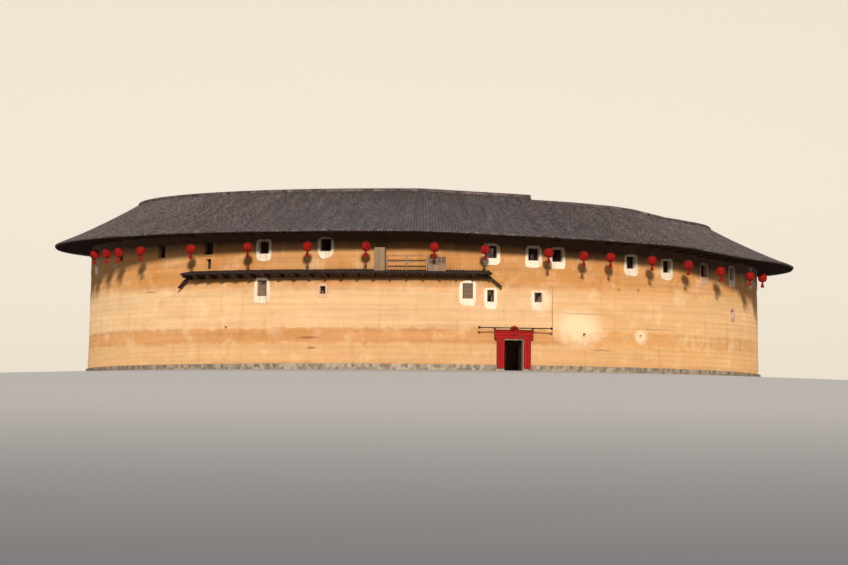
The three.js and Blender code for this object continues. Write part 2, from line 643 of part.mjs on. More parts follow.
// Round pole across the gate's head on two brackets, with a knob at each end
function gatePole(envelope) {
  const turned = (size, length, x) => {
    const geometry = new THREE.CylinderGeometry(metres(size), metres(size), metres(length), 10);
    geometry.rotateZ(Math.PI / 2);
    geometry.translate(metres(x), -metres(POLE.radius), metres(POLE.height));
    return solidOf(geometry);
  };
  const { across, half, above, below, past, root } = POLE_BRACKET;
  const bracket = (side) => box([side * across - half, -POLE.radius - past, POLE.height - below],
    [side * across + half, -root, POLE.height + above]);
  const solid = joined([
    turned(POLE.size, 2 * POLE.half, 0),
    turned(KNOB.size, KNOB.length, -POLE.half),
    turned(KNOB.size, KNOB.length, POLE.half),
    bracket(-1),
    bracket(1),
  ]);
  return without(solid, [envelope]);
}

function addGate(envelope) {
  addNode('gate_frame', gateFrame(), STONE());
  addNode('gate_threshold', gateThreshold(), STONE());
  addNode('gate_header', gateHeader(), DARK_TIMBER());
  addNode('gate_leaf_left', gateLeaf(-1), DARK_TIMBER());
  addNode('gate_leaf_right', gateLeaf(1), DARK_TIMBER());
  addNode('gate_surround', gateSurround(envelope), RED_PAINT());
  addNode('gate_pole', gatePole(envelope), DARK_TIMBER());
}

// Height of the waist roof's upper face, straight from its root in the wall to its edge
function waistTop(radius) {
  const share = (radius - WAIST_ROOT) / (WAIST_REACH - WAIST_ROOT);
  return WAIST_ROOT_Z + (WAIST_EDGE_Z - WAIST_ROOT_Z) * share;
}

// Narrow waist roof on cantilevered beams, with a slanting strut at each end
function waistRoof(envelope) {
  const slab = arc([
    [WAIST_ROOT, WAIST_ROOT_Z - WAIST_DEPTH - WAIST_ROOT_EXTRA],
    [WAIST_REACH, WAIST_EDGE_Z - WAIST_DEPTH],
    [WAIST_REACH, WAIST_EDGE_Z],
    [WAIST_ROOT, WAIST_ROOT_Z],
  ], WAIST.from, WAIST.to);
  const parts = [slab];
  const { spaces, end, width, back, bottom, top } = WAIST_BRACKETS;
  for (let i = 0; i <= spaces; i += 1) {
    const angle = WAIST.from + end + (WAIST.to - WAIST.from - 2 * end) * i / spaces;
    parts.push(ringBox(angle, width, WAIST_ROOT, WAIST_REACH - back, bottom, top));
  }
  [[WAIST.from, -1], [WAIST.to, 1]].forEach(([angle, side]) => {
    const sizes = [WAIST_STRUT.width, WAIST_STRUT.depth, WAIST_STRUT.length].map(metres);
    const strut = new THREE.BoxGeometry(...sizes);
    strut.rotateY(radians(-side * WAIST_STRUT.slant));
    const across = side * WAIST_STRUT.inward;
    strut.translate(metres(across), -metres(WAIST_STRUT_RADIUS), metres(WAIST_STRUT.height));
    strut.rotateZ(radians(angle));
    parts.push(solidOf(strut));
  });
  return without(joined(parts), [envelope]);
}

// Box bays and a rail between them, standing on the waist roof
function addLookout(envelope) {
  const reach = WAIST_REACH + PAST;
  const above = ring([
    [WAIST_ROOT, waistTop(WAIST_ROOT) + SEAT],
    [reach, waistTop(reach) + SEAT],
    [reach, FAR_ABOVE],
    [WAIST_ROOT, FAR_ABOVE],
  ]);
  const bay = ({ angle, width, reach: front, top }) =>
    ringBox(angle, width, WAIST_ROOT, front, LOOKOUT_FOOT, top).intersect(above).subtract(envelope);
  addNode('lookout_bay_left', bay(LOOKOUT_LEFT), WEATHERED_TIMBER());
  addNode('lookout_bay_right', bay(LOOKOUT_RIGHT), WEATHERED_TIMBER());
  const { from, to, inner, outer, size } = LOOKOUT_RAILS;
  const rails = LOOKOUT_RAIL_HEIGHTS.map((z) =>
    arc(rectangle(inner, outer, z - size / 2, z + size / 2), from, to));
  const { angles, width, top } = LOOKOUT_POSTS;
  const posts = angles.map((angle) =>
    ringBox(angle, width, LOOKOUT_POSTS.inner, LOOKOUT_POSTS.outer, LOOKOUT_FOOT, top));
  addNode('lookout_rail', joined([...rails, ...posts]).intersect(above), WEATHERED_TIMBER());
}

// Lanterns on a rail under the outer eave. The rail follows the roof down in two parts, with an upright link
// between them at the roof's step.
function lanternRow() {
  const half = LANTERN_RAIL / 2;
  const railTop = roofUnder(LANTERN_RADIUS + half) - SEAT;
  const railBottom = railTop - LANTERN_RAIL;
  const outline = rectangle(LANTERN_RADIUS - half, LANTERN_RADIUS + half, railBottom, railTop + 0.02);
  const end = 0.5;
  const first = LANTERN_ANGLES[0] - end;
  const last = LANTERN_ANGLES[LANTERN_ANGLES.length - 1] + end;
  const link = ROOF_STEP.front - STEP_BOARD - 0.15;
  const lap = 0.1;
  const roof = roofSpace(EAVE_RADIUS - (EAVE_RADIUS - RIDGE_RADIUS) / ROOF_BREAKS, EAVE_RADIUS);
  const parts = [
    arc(outline, first, link + lap, highDrop).subtract(roof.high),
    arc(outline, link - lap, last, lowDrop).subtract(roof.low),
    ringBox(link, LANTERN_RAIL, LANTERN_RADIUS - half, LANTERN_RADIUS + half - 0.01,
      railBottom - lowDrop(link, LANTERN_RADIUS), railTop - 0.02 - highDrop(link)),
  ];
  LANTERN_ANGLES.forEach((angle) => {
    parts.push(lantern(angle, railTop - CORD - dropAt(angle, LANTERN_RADIUS)));
  });
  return joined(parts);
}

function lantern(angle, top) {
  const middle = top - LANTERN_DROP;
  const outline = [
    [0, top],
    [CORD, top],
    [CORD, middle + LANTERN_HALF],
    [LANTERN_SIZE, middle + LANTERN_SHOULDER],
    [LANTERN_SIZE, middle - LANTERN_SHOULDER],
    [TASSEL.width, middle - LANTERN_HALF],
    [0, middle - TASSEL.end],
  ];
  const points = outline.map(([radius, height]) => new THREE.Vector2(metres(radius), metres(height)));
  const geometry = new THREE.LatheGeometry(points, 6);
  geometry.rotateX(Math.PI / 2);
  geometry.translate(0, -metres(LANTERN_RADIUS), 0);
  geometry.rotateZ(radians(angle));
  return solidOf(geometry);
}

const envelope = wallEnvelope();
addPlinth();
addEarthWall();
addFloors();
addRoomFronts();
addGalleryFrames();
addRoof();
addGate(envelope);
addNode('waist_roof', waistRoof(envelope), DARK_TIMBER());
addLookout(envelope);
addNode('lantern_row', lanternRow(), LANTERN_CLOTH());

export default model;
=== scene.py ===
import math

import bpy
import numpy as np
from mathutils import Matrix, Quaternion, Vector


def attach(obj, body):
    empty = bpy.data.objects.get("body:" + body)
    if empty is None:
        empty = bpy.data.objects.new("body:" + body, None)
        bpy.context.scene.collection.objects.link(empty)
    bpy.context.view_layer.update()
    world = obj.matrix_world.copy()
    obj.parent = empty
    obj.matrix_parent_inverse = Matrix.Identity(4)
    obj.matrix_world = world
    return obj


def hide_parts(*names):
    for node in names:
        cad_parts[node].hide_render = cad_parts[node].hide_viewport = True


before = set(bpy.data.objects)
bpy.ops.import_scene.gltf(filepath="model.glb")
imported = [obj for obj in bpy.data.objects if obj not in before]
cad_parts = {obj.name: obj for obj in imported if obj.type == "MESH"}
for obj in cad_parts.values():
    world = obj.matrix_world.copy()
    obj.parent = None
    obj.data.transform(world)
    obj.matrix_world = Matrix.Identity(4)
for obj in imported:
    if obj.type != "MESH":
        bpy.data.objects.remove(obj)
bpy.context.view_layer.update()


# View, ground and daylight
# The house is seen from across a valley, from a little below its own ground and far away, with a low sun
# behind the viewer. The ground is plain and pale. It falls away from the wall, and far off it curves up all
# round into a backdrop.
SCALE = 0.5  # The model is 1:2. Every size below is the full-size building's, in metres.
VIEW_ANGLE = -14.4
VIEW_DISTANCE = 386.0
VIEW_HEIGHT = -8.95
VIEW_AIM = 8.7
VIEW_ROLL = 0.5
LENS = 183.0
FARTHEST_VIEW = 3000
# Lights: angle round the ring, height above the horizon, strength, softness in degrees and colour.
KEY_LIGHT = (-13.0, 22.5, 3.85, 6.0, "#fff7ed")
BACK_FILL = (157.0, 40.0, 0.9, 20.0, "#eef2ff")
SKY_COLOUR = "#f3f1ee"
SKY_STRENGTH = 0.13
GROUND_COLOUR = "#c9c5be"
GROUND_EDGE = 35.0
GROUND_FALL = 2.2
GROUND_GAP = 0.004
GROUND_RADII = [0.001, 20.0, GROUND_EDGE, 60.0, 120.0, 300.0]
SWEEP_START = 700.0
SWEEP_RADIUS = 150.0
SWEEP_STEPS = 10
BACKDROP_TOP = 240.0
TURN_STEPS = 180


def linear(colour):
    """Turns an sRGB hex colour into the linear values that Blender works in."""
    parts = [int(colour[at:at + 2], 16) / 255 for at in (1, 3, 5)]
    return (*(part / 12.92 if part <= 0.04045 else ((part + 0.055) / 1.055) ** 2.4 for part in parts), 1.0)


def ring_points(angle, radius, height):
    """Points of the model: x is radius times the angle's sine, and y is minus radius times its cosine."""
    angle, radius, height = np.broadcast_arrays(np.radians(angle), radius, height)
    return SCALE * np.stack([radius * np.sin(angle), -radius * np.cos(angle), height], axis=-1)


def grid_faces(rows, columns, wrap=False):
    """Faces of a grid of points, row after row: each joins four neighbours. With wrap the last row joins
    the first."""
    row = np.arange(rows if wrap else rows - 1)[:, None]
    column = np.arange(columns - 1)[None]
    after = (row + 1) % rows
    corners = [row * columns + column, row * columns + column + 1,
               after * columns + column + 1, after * columns + column]
    return np.stack(corners, axis=-1).reshape(-1, 4)


def make_piece(name, points, face_sets, material, smooth=False, **attributes):
    """Puts points, and faces with three or four corners, into a mesh whose object is at the origin."""
    mesh = bpy.data.meshes.new(name)
    points = np.asarray(points, np.float32).reshape(-1, 3)
    sizes = np.concatenate([np.full(len(faces), faces.shape[1]) for faces in face_sets])
    corners = np.concatenate([faces.ravel() for faces in face_sets])
    mesh.vertices.add(len(points))
    mesh.vertices.foreach_set("co", points.ravel())
    mesh.loops.add(len(corners))
    mesh.loops.foreach_set("vertex_index", corners.astype(np.int32))
    mesh.polygons.add(len(sizes))
    mesh.polygons.foreach_set("loop_start", (np.cumsum(sizes) - sizes).astype(np.int32))
    mesh.polygons.foreach_set("use_smooth", np.full(len(sizes), smooth))
    for key, values in attributes.items():
        kind, field = ("FLOAT", "value") if np.ndim(values) == 1 else ("FLOAT_VECTOR", "vector")
        values = np.asarray(values, np.float32).ravel()
        mesh.attributes.new(key, kind, "POINT").data.foreach_set(field, values)
    mesh.update(calc_edges=True)
    mesh.materials.append(material)
    piece = bpy.data.objects.new(name, mesh)
    bpy.context.scene.collection.objects.link(piece)
    return piece


def new_material(name):
    """An empty material with its shader tree, its Principled shader joined to its output."""
    material = bpy.data.materials.new(name)
    material.use_nodes = True
    tree = material.node_tree
    return material, tree, tree.nodes["Principled BSDF"]


def make_ground():
    """A disc whose height is zero out to its edge and then falls in proportion to the distance, as far as the
    start of the sweep: a quarter circle that ends in the upright backdrop."""
    turn = np.radians(np.linspace(0, 90, SWEEP_STEPS))
    fall = math.tan(math.radians(GROUND_FALL))
    radii = np.concatenate([GROUND_RADII, SWEEP_START + SWEEP_RADIUS * np.sin(turn)])
    heights = -np.maximum(np.minimum(radii, SWEEP_START) - GROUND_EDGE, 0) * fall - GROUND_GAP
    heights[len(GROUND_RADII):] += SWEEP_RADIUS * (1 - np.cos(turn))
    radii, heights = np.append(radii, radii[-1]), np.append(heights, BACKDROP_TOP)
    angles = np.arange(TURN_STEPS) * 360 / TURN_STEPS
    points = ring_points(angles[:, None], radii[None], heights[None])
    material, _, shader = new_material("plain_pale_floor")
    shader.inputs["Base Color"].default_value = linear(GROUND_COLOUR)
    shader.inputs["Roughness"].default_value = 0.9
    faces = grid_faces(TURN_STEPS, len(radii), wrap=True)
    return make_piece("ground", points, [faces], material, smooth=True)


make_ground()

camera = bpy.data.objects.new("camera", bpy.data.cameras.new("camera"))
bpy.context.scene.collection.objects.link(camera)
camera.location = Vector(ring_points(VIEW_ANGLE, VIEW_DISTANCE, VIEW_HEIGHT))
aim = Vector((0, 0, SCALE * VIEW_AIM)) - camera.location
camera.rotation_mode = "QUATERNION"
camera.rotation_quaternion = aim.to_track_quat("-Z", "Y") @ Quaternion((0, 0, 1), math.radians(VIEW_ROLL))
camera.data.lens = LENS
camera.data.clip_end = FARTHEST_VIEW
bpy.context.scene.camera = camera


def add_sun(name, angle, rise, strength, softness, colour):
    """A sun that shines towards the house's middle from an angle round the ring and a height above the
    horizon."""
    sun = bpy.data.objects.new(name, bpy.data.lights.new(name, "SUN"))
    sun.data.energy = strength
    sun.data.angle = math.radians(softness)
    sun.data.color = linear(colour)[:3]
    towards = Vector(ring_points(angle, 1, math.tan(math.radians(rise))))
    sun.rotation_mode = "QUATERNION"
    sun.rotation_quaternion = (-towards).to_track_quat("-Z", "Y")
    bpy.context.scene.collection.objects.link(sun)


add_sun("key_light", *KEY_LIGHT)
add_sun("back_fill", *BACK_FILL)
world = bpy.data.worlds.new("soft_studio")
world.use_nodes = True
world.node_tree.nodes["Background"].inputs["Color"].default_value = linear(SKY_COLOUR)
world.node_tree.nodes["Background"].inputs["Strength"].default_value = SKY_STRENGTH
bpy.context.scene.world = world
bpy.context.scene.view_settings.view_transform = "Standard"


# Rammed-earth wall
# Yellow clay, lime and gravel rammed between boards in lifts about 0.4 m high, 1.6 m thick, leaning in
# slightly. The joints of the lifts show as faint lines, and the weather has coloured it in level bands.
WALL_OUTER = 30.0
WALL_INNER = 28.4
WALL_BATTER = 0.028
WALL_SET_BACK = 0.02
PLINTH_HEIGHT = 0.6
GATE_HALF = 1.1
GATE_HEIGHT = 3.0
PITCHES = [(5, 2.75), (35, 2.625), (125, 2.75), (155, 2.9)]  # where each storey height begins
RIDGE_RADIUS = 25.5
RIDGE_HEIGHT = 15.2
ROOF_SLOPE = 0.583
ROOF_SAG = 0.012
EAVE_RADIUS = 33.0
LOW_EAVE_LIFT = 0.35
LOW_ROOF = (6.0, 154.0)
HIGH_SINK = [(155, 0.35), (165, 0.2), (175, 0), (345, 0), (355, 0.2), (365, 0.35), (370, 0.43)]
LOW_SINK = [(5, 0.75), (15, 0.85), (25, 1.0), (30, 1.15), (35, 1.4), (40, 1.6), (50, 1.7), (110, 1.7),
            (120, 1.6), (125, 1.4), (130, 1.15), (135, 1.0), (145, 0.85), (155, 0.75)]
WALL_TOP_DEPTH = 0.18
WALL_COLUMN_DEGREES = 0.6
WALL_ROW = 0.3
COLUMN_CLEARANCE, ROW_CLEARANCE = 0.3, 0.12
BULGES = [(0.02, 6.0, 3), (0.008, 1.7, 4)]  # depth, length and seed
WEAR_DEPTH, WEAR_HEIGHT = 0.03, 0.5
SEAM_DEGREES = 0.002
SEGMENTS = [
    ("front_right", 5.79, 35, True, ["wall_front_right"]),
    ("right", 35, 80, True, ["wall_right"]),
    ("right_rear", 80, 125, True, ["wall_right_rear"]),
    ("back_right", 125, 154.21, True, ["wall_back_right"]),
    ("back", 154.21, 204, False, ["wall_back"]),
    ("back_left", 204, 254, False, ["wall_back_left"]),
    ("left", 254, 304, False, ["wall_left"]),
    ("front_left", 304, 354, False, ["wall_front_left"]),
    ("gate_bay", 354, 365.79, False, ["wall_over_gate", "wall_gate_left", "wall_gate_right"]),
]
# Windows of the top row and vents: angle and height of the centre. In the middle row the width and the height
# of the window come between the two.
TOP_WINDOW = (0.95, 1.05)
TOP_WINDOWS = [(-76.6, 10.2), (-63.2, 10.25), (-52.1, 10.35), (-41.2, 10.3), (-30.4, 10.45), (-3.6, 9.95),
               (3.4, 9.82), (7.5, 9.77), (21.4, 9.42), (29.3, 9.23), (39.2, 9.1), (49.1, 9.05)]
MIDDLE_WINDOWS = [(-52.1, 0.6, 0.85, 9.02), (-41.4, 0.95, 1.35, 6.89), (-30.8, 0.5, 0.65, 6.7),
                  (-7.4, 0.9, 1.3, 6.68), (-3.7, 0.6, 1.0, 6.3), (4.2, 0.7, 0.8, 6.25), (49.1, 0.6, 0.6, 5.6)]
REAR_MIDDLE_WINDOW = (0.7, 0.9)
REAR_TOP_ABOVE, REAR_MIDDLE_ABOVE = 1.3, 0.75
VENTS = [(-48.2, 3.6), (12.3, 3.2), (23.3, 3.2), (100, 3.1), (170, 3.35), (230, 3.35), (270, 3.35)]
VENT_SIZE = 0.3
LIFT = 0.42
LIFT_LENGTH = 2.1
EARTH_LOW = "#dcb17c"
EARTH_PALE = "#e5c193"
EARTH_BAND = "#cf955a"
EARTH_UPPER = "#c98d4b"
EARTH_RIGHT = "#d8a566"
EARTH_CREAM = "#ecd0a4"
EARTH_ROSE = "#dba182"
EARTH_SHADE = "#b9793f"
EARTH_STREAK = "#c89a6a"
EARTH_PAINTED_SHADE = "#2e0e07"
EARTH_CRACK = "#8a5230"
PATCH_PALE = "#f0dcb8"
BAND_SPAN = (0.5, 12.5)
EARTH_BANDS = [(0.0, EARTH_SHADE), (0.07, EARTH_LOW), (0.185, EARTH_LOW), (0.2, EARTH_BAND),
               (0.29, EARTH_BAND), (0.305, EARTH_PALE), (0.54, EARTH_PALE), (0.62, EARTH_UPPER),
               (0.95, EARTH_UPPER)]
# Cracks and knocks: angle, height, half length, half height and strength.
MARKS = [(6.6, 4.8, 0.06, 3.4, 0.6), (-33.0, 2.75, 1.1, 0.12, 0.7), (-32.5, 1.9, 0.5, 0.12, 0.7),
         (15.4, 1.95, 1.2, 0.07, 0.55), (-65.9, 6.8, 1.0, 0.1, 0.5), (18.9, 7.1, 0.16, 0.14, 0.7),
         (22.9, 7.1, 0.16, 0.14, 0.7), (12.4, 4.95, 2.7, 0.06, 0.4), (26.5, 3.85, 3.0, 0.06, 0.4)]
# Limed patches: angle, height, half width in degrees and half height.
PATCHES = [(11.2, 3.8, 5.0, 1.8), (23.3, 3.2, 1.7, 0.7), (4.6, 5.9, 2.2, 1.0)]
# The painted shade under the eave is full down to the first depth and gone at the second. The painted shade
# under the waist roof is full from the first height down to the second, and gone at the third.
PAINTED_SHADE_DEPTHS = (1.75, 3.1)
WAIST = (-55.9, -3.9)
WAIST_PAINTED_SHADE_HEIGHTS = (8.1, 7.85, 7.3)
WAIST_PAINTED_SHADE = 0.75
# Settings of the nodes that mix colours, and of those that multiply and then add. A pattern's scale is how
# many of its lumps lie along a metre: 14 gives lumps of 70 mm. Grit and fibres are finer than a pixel here,
# so they are drawn as coarse as they need to be to show.
COLOURS = {"data_type": "RGBA"}
TIMES_PLUS = {"operation": "MULTIPLY_ADD"}


def pitch_at(angle):
    """The storey height at an angle: the floors step down towards the house's right side."""
    turned = (angle - PITCHES[0][0]) % 360 + PITCHES[0][0]
    return [pitch for begin, pitch in PITCHES if turned >= begin][-1]


def is_low(angle):
    """Whether an angle lies in the low part of the roof."""
    return (np.asarray(angle, float) - LOW_ROOF[0]) % 360 < LOW_ROOF[1] - LOW_ROOF[0]


def roof_top(radius, angle, low=None):
    """The tile surface: the ridge's height, less the slope times the distance, plus the sag times its
    square, less the sinking there. On the low part a lift grows evenly from the ridge to the outer eave."""
    away = np.abs(radius - RIDGE_RADIUS)
    low = is_low(angle) if low is None else low
    high_sink = np.interp((np.asarray(angle) - 80) % 360 + 80, *np.transpose(HIGH_SINK))
    low_sink = np.interp((np.asarray(angle) + 100) % 360 - 100, *np.transpose(LOW_SINK))
    low_sink = low_sink - LOW_EAVE_LIFT * np.maximum(radius - RIDGE_RADIUS, 0) / (EAVE_RADIUS - RIDGE_RADIUS)
    return RIDGE_HEIGHT - ROOF_SLOPE * away + ROOF_SAG * away ** 2 - np.where(low, low_sink, high_sink)


def wall_face(height):
    """The radius of the leaning outer face at a height."""
    return WALL_OUTER - WALL_BATTER * height


def all_windows():
    """Every window: angle, width, height and the height of its centre. The rear ones stand evenly over their
    floors."""
    windows = [(angle, *TOP_WINDOW, centre) for angle, centre in TOP_WINDOWS] + MIDDLE_WINDOWS
    windows += [(angle, *TOP_WINDOW, 3 * pitch_at(angle) + REAR_TOP_ABOVE) for angle in range(60, 271, 10)]
    return windows + [(angle, *REAR_MIDDLE_WINDOW, 2 * pitch_at(angle) + REAR_MIDDLE_ABOVE)
                      for angle in range(80, 241, 40)]


def lines_with_edges(start, stop, step, edges, clearance):
    """Even lines with the edges put in between, and without the even lines that lie too close to an edge."""
    even = np.linspace(start, stop, round((stop - start) / step) + 1)
    edges = np.array(sorted(edge for edge in edges if start + 1e-3 < edge < stop - 1e-3))
    if len(edges):
        near = np.abs(even[:, None] - edges[None]).min(axis=1) < clearance
        near[[0, -1]] = False
        even = even[~near]
    return np.unique(np.round(np.concatenate([even, edges]), 5))


def thick_faces(solid):
    """Faces of a slab of cells between a front and a back grid of points, with walls round every edge and
    hole."""
    columns, rows = solid.shape
    count = (columns + 1) * (rows + 1)
    at = np.arange(count).reshape(columns + 1, rows + 1)
    column, row = np.nonzero(solid)
    here, beyond = at[column, row], at[column + 1, row]
    front = np.stack([here, beyond, at[column + 1, row + 1], at[column, row + 1]], axis=-1)
    faces = [front, front[:, ::-1] + count]
    padded = np.pad(solid, 1).astype(int)
    across = padded[1:, 1:-1] - padded[:-1, 1:-1]
    upward = padded[1:-1, 1:] - padded[1:-1, :-1]
    for sign in (1, -1):
        column, row = np.nonzero(across == sign)
        here, above = at[column, row], at[column, row + 1]
        faces.append(np.stack([here, above, above + count, here + count], axis=-1)[:, ::sign])
        column, row = np.nonzero(upward == sign)
        here, beyond = at[column, row], at[column + 1, row]
        faces.append(np.stack([here, here + count, beyond + count, beyond], axis=-1)[:, ::sign])
    return np.concatenate(faces)


def only_used(faces, *arrays):
    """Leaves out the points that no face uses, and numbers the rest again."""
    used, numbered = np.unique(faces, return_inverse=True)
    return [numbered.reshape(faces.shape), *[array[used] for array in arrays]]


def unevenness(angle, height, size, seed):
    """Smooth hollows and bulges, mostly within 1: six waves that run in different directions, added up."""
    draw = np.random.default_rng(seed)
    along = np.radians(angle) * WALL_OUTER
    total = 0
    for _ in range(6):
        turn = draw.uniform(0, np.pi)
        phase = draw.uniform(0, 2 * np.pi)
        length = size * draw.uniform(0.6, 1.6)
        total = total + np.sin(2 * np.pi * (along * np.cos(turn) + height * np.sin(turn)) / length + phase)
    return total / 3


def bulges(angle, height, waves):
    """Unevenness of several sizes added up, each with its depth, its length and its seed."""
    return sum(depth * unevenness(angle, height, length, seed) for depth, length, seed in waves)


def half_angle(width, radius):
    """The angle in degrees that half a straight width takes up at a radius."""
    return math.degrees(math.asin(width / 2 / radius))


def segment_holes(start, stop):
    """The holes of a segment: angle, width, lowest and highest point. The gate is one of them."""
    openings = all_windows() + [(angle, VENT_SIZE, VENT_SIZE, centre) for angle, centre in VENTS]
    holes = [(angle + 360 if angle < start - 1 else angle, width, centre - tall / 2, centre + tall / 2)
             for angle, width, tall, centre in openings]
    holes = [hole for hole in holes if start < hole[0] < stop]
    if start < 360 < stop:
        holes.append((360.0, 2 * GATE_HALF, PLINTH_HEIGHT - 1, GATE_HEIGHT))
    return holes


def wall_segment(start, stop, is_low_part):
    """A grid of angle and height on the outer and the inner face, with the holes left out and their sides
    closed. The outer face is moved in and out by bulges, and by wear that fades with the height over the
    plinth."""
    holes = segment_holes(start, stop)
    half = [half_angle(hole[1], WALL_OUTER) for hole in holes]
    edges = [hole[0] + side * reach for hole, reach in zip(holes, half) for side in (-1, 1)]
    angles = lines_with_edges(start, stop, WALL_COLUMN_DEGREES, edges, COLUMN_CLEARANCE)
    top = roof_top(wall_face(12), angles, is_low_part) - WALL_TOP_DEPTH
    levels = sorted({round(float(z), 4) for hole in holes for z in hole[2:]})
    heights = lines_with_edges(PLINTH_HEIGHT, top.min() - 0.2, WALL_ROW, levels, ROW_CLEARANCE)
    heights = np.append(heights, top.max())
    middle_angle = (angles[1:] + angles[:-1])[:, None] / 2
    middle_height = (heights[1:] + heights[:-1])[None] / 2
    solid = np.ones((len(angles) - 1, len(heights) - 1), bool)
    for (angle, _, low, high), reach in zip(holes, half):
        solid &= ~((np.abs(middle_angle - angle) < reach) & (middle_height > low) & (middle_height < high))
    outer_angle, height = np.meshgrid(angles, heights, indexing="ij")
    height[:, -1] = top
    wear = WEAR_DEPTH * np.exp(-(height - PLINTH_HEIGHT) / WEAR_HEIGHT)
    wear = wear * (1 + unevenness(outer_angle, height, 2.4, 5))
    radius = wall_face(height) - WALL_SET_BACK + bulges(outer_angle, height, BULGES) - wear
    front = ring_points(outer_angle, radius, height)
    inner_angle = outer_angle.copy()
    for (angle, width, _, _), reach in zip(holes, half):
        for side in (-1, 1):
            at_edge = np.abs(angles - (angle + side * reach)) < 1e-4
            inner_angle[at_edge] = angle + side * half_angle(width, WALL_INNER)
    inner_height = height.copy()
    inner_height[:, -1] = roof_top(WALL_INNER, angles, is_low_part) - WALL_TOP_DEPTH
    back = ring_points(inner_angle, WALL_INNER, inner_height)
    points = np.concatenate([front.reshape(-1, 3), back.reshape(-1, 3)])
    turned = np.radians(np.where(outer_angle > 180, outer_angle - 360, outer_angle))
    place = np.stack([turned * WALL_OUTER, height, np.zeros_like(height)], axis=-1).reshape(-1, 3)
    place = np.concatenate([place, place + (0, 0, WALL_OUTER - WALL_INNER)])
    return only_used(thick_faces(solid), points, place)


def add_node(tree, kind, result=0, settings=(), **inputs):
    """Adds a shader node and gives one of its outputs, or all when the result is None. Inputs are named by
    socket, with _ for a blank, or in_0, in_1 by number; each is a value or a link."""
    node = tree.nodes.new("ShaderNode" + kind)
    for key, value in dict(settings).items():
        setattr(node, key, value)
    for key, value in inputs.items():
        socket = node.inputs[int(key[3:]) if key.startswith("in_") else key.replace("_", " ")]
        if isinstance(value, bpy.types.NodeSocket):
            tree.links.new(value, socket)
        else:
            socket.default_value = value
    return node.outputs if result is None else node.outputs[result]


def between(tree, value, low, high, first, second):
    """From one colour to another as a value goes from low to high."""
    share = add_node(tree, "MapRange", Value=value, From_Min=low, From_Max=high)
    return add_node(tree, "Mix", 2, COLOURS, in_0=share, in_6=linear(first), in_7=linear(second))


def veiled(tree, colour, veil, value, low, high, share=1.0, least=0.0, blend="MIX"):
    """A colour under a second one, whose share grows from least as a value goes from low to high."""
    share = add_node(tree, "MapRange", Value=value, From_Min=low, From_Max=high, To_Min=least, To_Max=share)
    veil = linear(veil) if isinstance(veil, str) else veil
    return add_node(tree, "Mix", 2, {**COLOURS, "blend_type": blend}, in_0=share, in_6=colour, in_7=veil)


def toned(tree, colour, value, low, high, dark, light):
    """A colour times a factor that goes from dark to light as a value goes from low to high."""
    tone = add_node(tree, "MapRange", Value=value, From_Min=low, From_Max=high, To_Min=dark, To_Max=light)
    return add_node(tree, "Mix", 2, {**COLOURS, "blend_type": "MULTIPLY"}, in_0=1.0, in_6=colour, in_7=tone)


def patched(tree, colour, veil, place, scale, low, high, share=1.0, detail=4.0, roughness=0.6):
    """A colour under a second one in cloudy patches, whose share grows as a noise goes from low to high."""
    cloud = add_node(tree, "TexNoise", Vector=place, Scale=scale, Detail=detail, Roughness=roughness)
    return veiled(tree, colour, veil, cloud, low, high, share)


def drawn_out(tree, place, stretch, detail=5.0, scale=1.0):
    """Fibres, streaks or layers: a noise whose place is times a scale of its own on each axis."""
    place = add_node(tree, "Mapping", Vector=place, Scale=stretch)
    return add_node(tree, "TexNoise", Vector=place, Scale=scale, Detail=detail, Roughness=0.6)


def coat(tree, shader, colour, roughness, relief, distance, strength, **values):
    """Gives a shader its colour and roughness, a relief of a value times a distance, and any other value."""
    tree.links.new(colour, shader.inputs["Base Color"])
    normal = add_node(tree, "Bump", Strength=strength, Distance=distance, Height=relief)
    tree.links.new(normal, shader.inputs["Normal"])
    for key, value in dict(Roughness=roughness, **values).items():
        shader.inputs[key.replace("_", " ")].default_value = value


